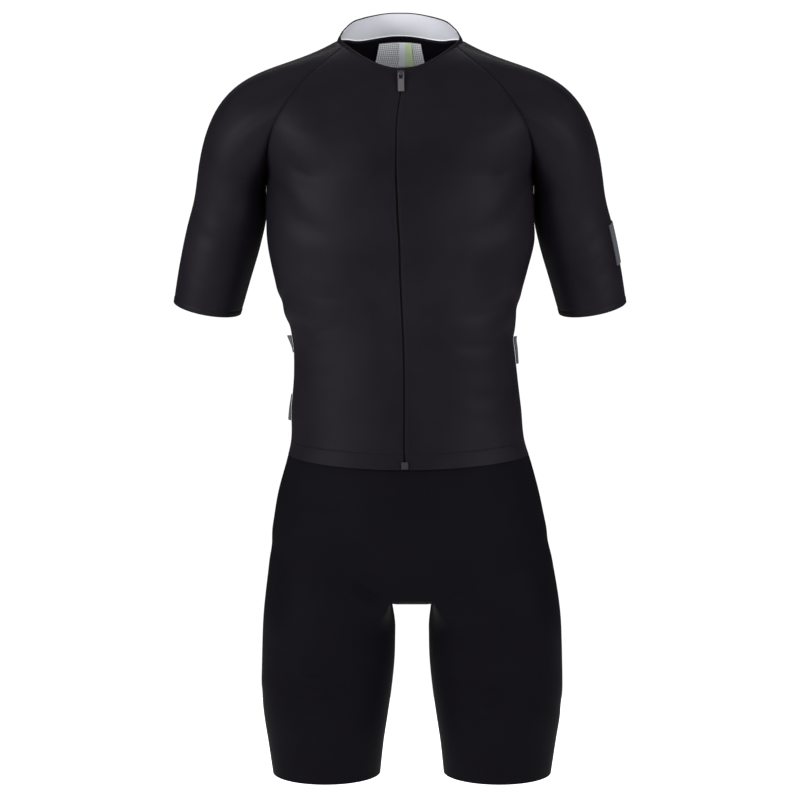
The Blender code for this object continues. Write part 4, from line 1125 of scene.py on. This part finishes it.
def build_camera():
    data = bpy.data.cameras.new("camera")
    data.lens = CAMERA_LENS
    data.sensor_width = SENSOR
    data.clip_end = 60
    bpy.context.scene.camera = link("camera", data)
    aim(bpy.context.scene.camera, CAMERA_PLACE, CAMERA_AIM)


def soft_light(name, place, size, power):
    data = bpy.data.lights.new(name, "AREA")
    data.shape = "RECTANGLE"
    data.size, data.size_y = size
    data.energy = power
    aim(link(name, data), place, LIGHT_AIM)


def build_studio():
    """A pale floor all round, soft light from both sides and above, and a white room."""
    floor = mesh_piece(
        "floor",
        np.array(((-1, -1, 1), (1, -1, 1), (1, 1, 1), (-1, 1, 1))) * (FLOOR_HALF, FLOOR_HALF, FLOOR_Z),
        np.array([(0, 1, 2, 3)]),
        grained("matt_studio_floor", "#fcfcfc", "#ffffff", FLOOR_GRAIN, 0.0, gloss(1.0, 0.0)),
    )
    for light in STUDIO_LIGHTS:
        soft_light(*light)
    world = bpy.data.worlds.new("white_room")
    bpy.context.scene.world = world
    world.use_nodes = True
    background = world.node_tree.nodes["Background"]
    background.inputs["Color"].default_value = linear("#ffffff")
    mirrored = add_node(world.node_tree, "LightPath").outputs["Is Glossy Ray"]
    shares = {"Value": mirrored, "To Min": ROOM_STRENGTH, "To Max": ROOM_GLOSS}
    strength = add_node(world.node_tree, "MapRange", shares)
    world.node_tree.links.new(strength.outputs["Result"], background.inputs["Strength"])
    bpy.context.scene.view_settings.view_transform = "Standard"


# Zip coil: two rows of moulded teeth that mesh in the slot between the fronts
COIL_TOP_Z = -56
COIL_FOOT_Z = -520
COIL_PITCH = 1.3
COIL_SWAY = 0.5
COIL_DEPTH = -0.95
COIL_TOOTH = (1.3, 0.9, 1.0)

# Places of the laid pieces: levels down the suit, or shares of the way down the upper back, and columns
# round it; laps and downs on the sleeve. The label's two halves also say how many columns they have.
POCKET_LEVELS = (-364, -519)
POCKET_PLACES = (9, 16)
PATCH_SHARES = (0.03, 0.245)
PATCH_PLACES = (13, 16)
LABEL_SHARES = (0.03, 0.196)
LABEL_PLACES = ((-1, (15.78, 16, 3)), (1, (14.2, 16, 10)))
LABEL_SPLIT_X = 6.4
STRIP_LAPS = (1, 1.575)
STRIP_DOWNS = (1.392, 1.708)

# Each tab's side, levels, places, and how far its free end stands out at its top and foot
TABS = {
    "tab_right_upper": (-1, (-372, -394), (8.02, 8.58), (7.0, 1.5)),
    "tab_right_lower": (-1, (-448, -481), (8.02, 8.50), (1.5, 4.5)),
    "tab_left_upper": (1, (-374, -409), (8.02, 8.55), (5.0, 4.0)),
}

# Stitches: the pitch and length of each, and how far a zigzag sways to each side. Then where the rows
# and seams run: levels, angles round the trunk, or shares of a seam's length
ROW_STITCH = (2.6, 1.8, 0.0)
FLAT_STITCH = (1.9, 1.9, 1.7)
RAGLAN_STITCH = (1.7, 1.7, 1.9)
ROW_GAP = (0, 0, 3)
ZIP_ROW_LEVELS = (-47, -527)
HEM_ROW_ANGLES = (1.5, 82)
SIDE_SEAM_LEVELS = (-176, -640)
SEAT_SEAM_LEVELS = (-528, -688)
WAIST_SEAM_ANGLES = (91, 180)
RAGLAN_SEAM = (0.015, 0.985)
GUSSET_SEAM = (0.02, 0.98)
ROW_THREAD = 0.55
FLAT_THREAD = 0.5
THREAD_SINK = 0.15
PIPING_RADIUS = 0.7

# Slot of each piece of cloth, its width, length and area as cut in metres, before it is stretched on
# the body, and the piece that it is laid on if it isn't stretched
CUTS = {
    "front_right": ("jersey_knit", (0.175, 0.50), 0.0835),
    "front_left": ("jersey_knit", (0.175, 0.50), 0.0835),
    "back": ("jersey_knit", (0.36, 0.52), 0.165),
    "sleeve_right": ("jersey_knit", (0.40, 0.33), 0.086),
    "sleeve_left": ("jersey_knit", (0.40, 0.33), 0.086),
    "shorts_front": ("shorts_knit", (0.50, 0.48), 0.183),
    "shorts_back_right": ("shorts_knit", (0.26, 0.44), 0.084),
    "shorts_back_left": ("shorts_knit", (0.26, 0.44), 0.084),
    "gusset": ("shorts_knit", (0.05, 0.19), 0.009),
    "collar": ("jersey_knit", (0.42, 0.031), 0.0066),
    "collar_lining": ("collar_knit", (0.19, 0.03), 0.0047),
    "neck_patch": ("mesh_cloth", (0.073, 0.047), 0.0028, "back"),
    "neck_label": ("label_film", (0.018, 0.036), 0.00064, "neck_patch"),
    "zip_tape": ("zip_tape_cloth", (0.018, 0.487), 0.00876),
    "back_pocket": ("jersey_knit", (0.31, 0.155), 0.046, "back"),
    "strip_left": ("reflective_film", (0.031, 0.053), 0.0016, "sleeve_left"),
    "tab_right_upper": ("reflective_film", (0.015, 0.021), 0.0003, "back"),
    "tab_right_lower": ("reflective_film", (0.013, 0.033), 0.00042, "back"),
    "tab_left_upper": ("reflective_film", (0.0135, 0.035), 0.00046, "back"),
}

# Studio: the floor in millimetres, and each light's name, place and size in metres and its power in watts
FLOOR_Z = -1250
FLOOR_HALF = 1800
FLOOR_GRAIN = 60
ROOM_STRENGTH = 1.05
ROOM_GLOSS = 0.1
LIGHT_AIM = (0, 0, -0.35)
STUDIO_LIGHTS = (
    ("key_left", (-1.6, -1.1, 0.1), (0.8, 0.8), 50),
    ("key_right", (1.6, -1.1, 0.1), (0.8, 0.8), 34),
    ("top", (0.0, -0.6, 2.2), (2.0, 1.2), 12),
    ("back_fill", (0.0, 1.8, 2.4), (1.4, 1.0), 60),
)

build_camera()
finishes = make_finishes()
things, surface = dress(make_panels(), finishes)

behind = -(JERSEY_WALL + SEATING_GAP + LAID_WALL)
tape = both(front_strip, np.linspace(ZIP_TOP_Z, ZIP_FOOT_Z, 122), np.linspace(0, ZIP_TAPE_HALF, 6))
lining = both(collar_stand, np.linspace(*LINING_UP, 10), LINING_FROM_SHARE)
patch = both(back_place, np.linspace(*PATCH_SHARES, 14), np.linspace(*PATCH_PLACES, 20))
label_shares = np.linspace(*LABEL_SHARES, 12)
label = [back_place(side, label_shares, np.linspace(*places)) for side, places in LABEL_PLACES]
pocket = both(trunk_patch, np.linspace(*POCKET_LEVELS, 50), np.linspace(*POCKET_PLACES, 43))
downs, laps = grid(np.linspace(*STRIP_DOWNS, 18), np.linspace(*STRIP_LAPS, 12))
laid = [
    ("zip_tape", "weave", tape, behind, LAID_WALL, "tape"),
    ("collar_lining", "cloth", lining, behind, LAID_WALL, "lining"),
    ("neck_patch", "mesh", patch, behind, LAID_WALL, "mesh"),
    ("neck_label", "satin", label, behind - SEATING_GAP - LAID_WALL, LAID_WALL, "label"),
    ("back_pocket", "cloth", pocket, SEATING_GAP, POCKET_WALL, "jersey"),
]
for name, (side, levels, places, stand) in TABS.items():
    points = trunk_patch(side, np.linspace(*levels, 12), np.linspace(*places, 8))
    lift = mix(SEATING_GAP, np.linspace(*stand, 12)[:, None], np.linspace(0, 1, 8))
    laid.append((name, "film", [points], lift, POCKET_WALL, "film"))
laid.append(("strip_left", "film", [sleeve(1, laps, downs)], SEATING_GAP, LAID_WALL, "film"))
for name, kind, grids, lift, wall, finish in laid:
    things[name] = laid_on(name + "_" + kind, grids, lift, wall, finishes[finish])

# Seams and hems: flat zigzag seams between panels, and straight rows along the edges
zigzags, rows = [], []
for side, _ in SIDES:
    raglans = [raglan(seam, side, np.linspace(*RAGLAN_SEAM, 90)) for seam in (FRONT_RAGLAN, BACK_RAGLAN)]
    zigzags += [stitch_row(surface, line, *RAGLAN_STITCH) for line in raglans]
    zigzags += [stitch_row(surface, line, *FLAT_STITCH) for line in flat_seams(side)]
    rows += [stitch_row(surface, line, *ROW_STITCH) for line in stitched_edges(side)]
seat_seam = trunk(1, 180.0, np.linspace(*SEAT_SEAM_LEVELS, 60))
zigzags.append(stitch_row(surface, seat_seam, *FLAT_STITCH))
things["flat_seams"] = thread_mesh("flat_seam_stitches", zigzags, FLAT_THREAD, finishes["thread"])
things["hem_rows"] = thread_mesh("hem_and_zip_stitches", rows, ROW_THREAD, finishes["thread"])
things["zip_coil"] = build_zip_coil(finishes["teeth"])

right, left = both(collar_stand, np.array((LINING_UP[0],)), LINING_FROM_SHARE)
piping = np.vstack((right[0, :-1], left[0, ::-1]))
piping = piping + unit(piping * (1, 1, 0)) * behind
things["piping"] = tube("collar_piping", piping, PIPING_RADIUS, finishes["piping"])

for node, finish in (("zip_slider", "metal"), ("zip_end", "metal"), ("zip_pull", "pull")):
    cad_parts[node].data.materials.clear()
    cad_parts[node].data.materials.append(finishes[finish])

for name, thing in things.items():
    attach(thing, "suit")
    if name not in CUTS:
        continue
    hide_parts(name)

build_studio()
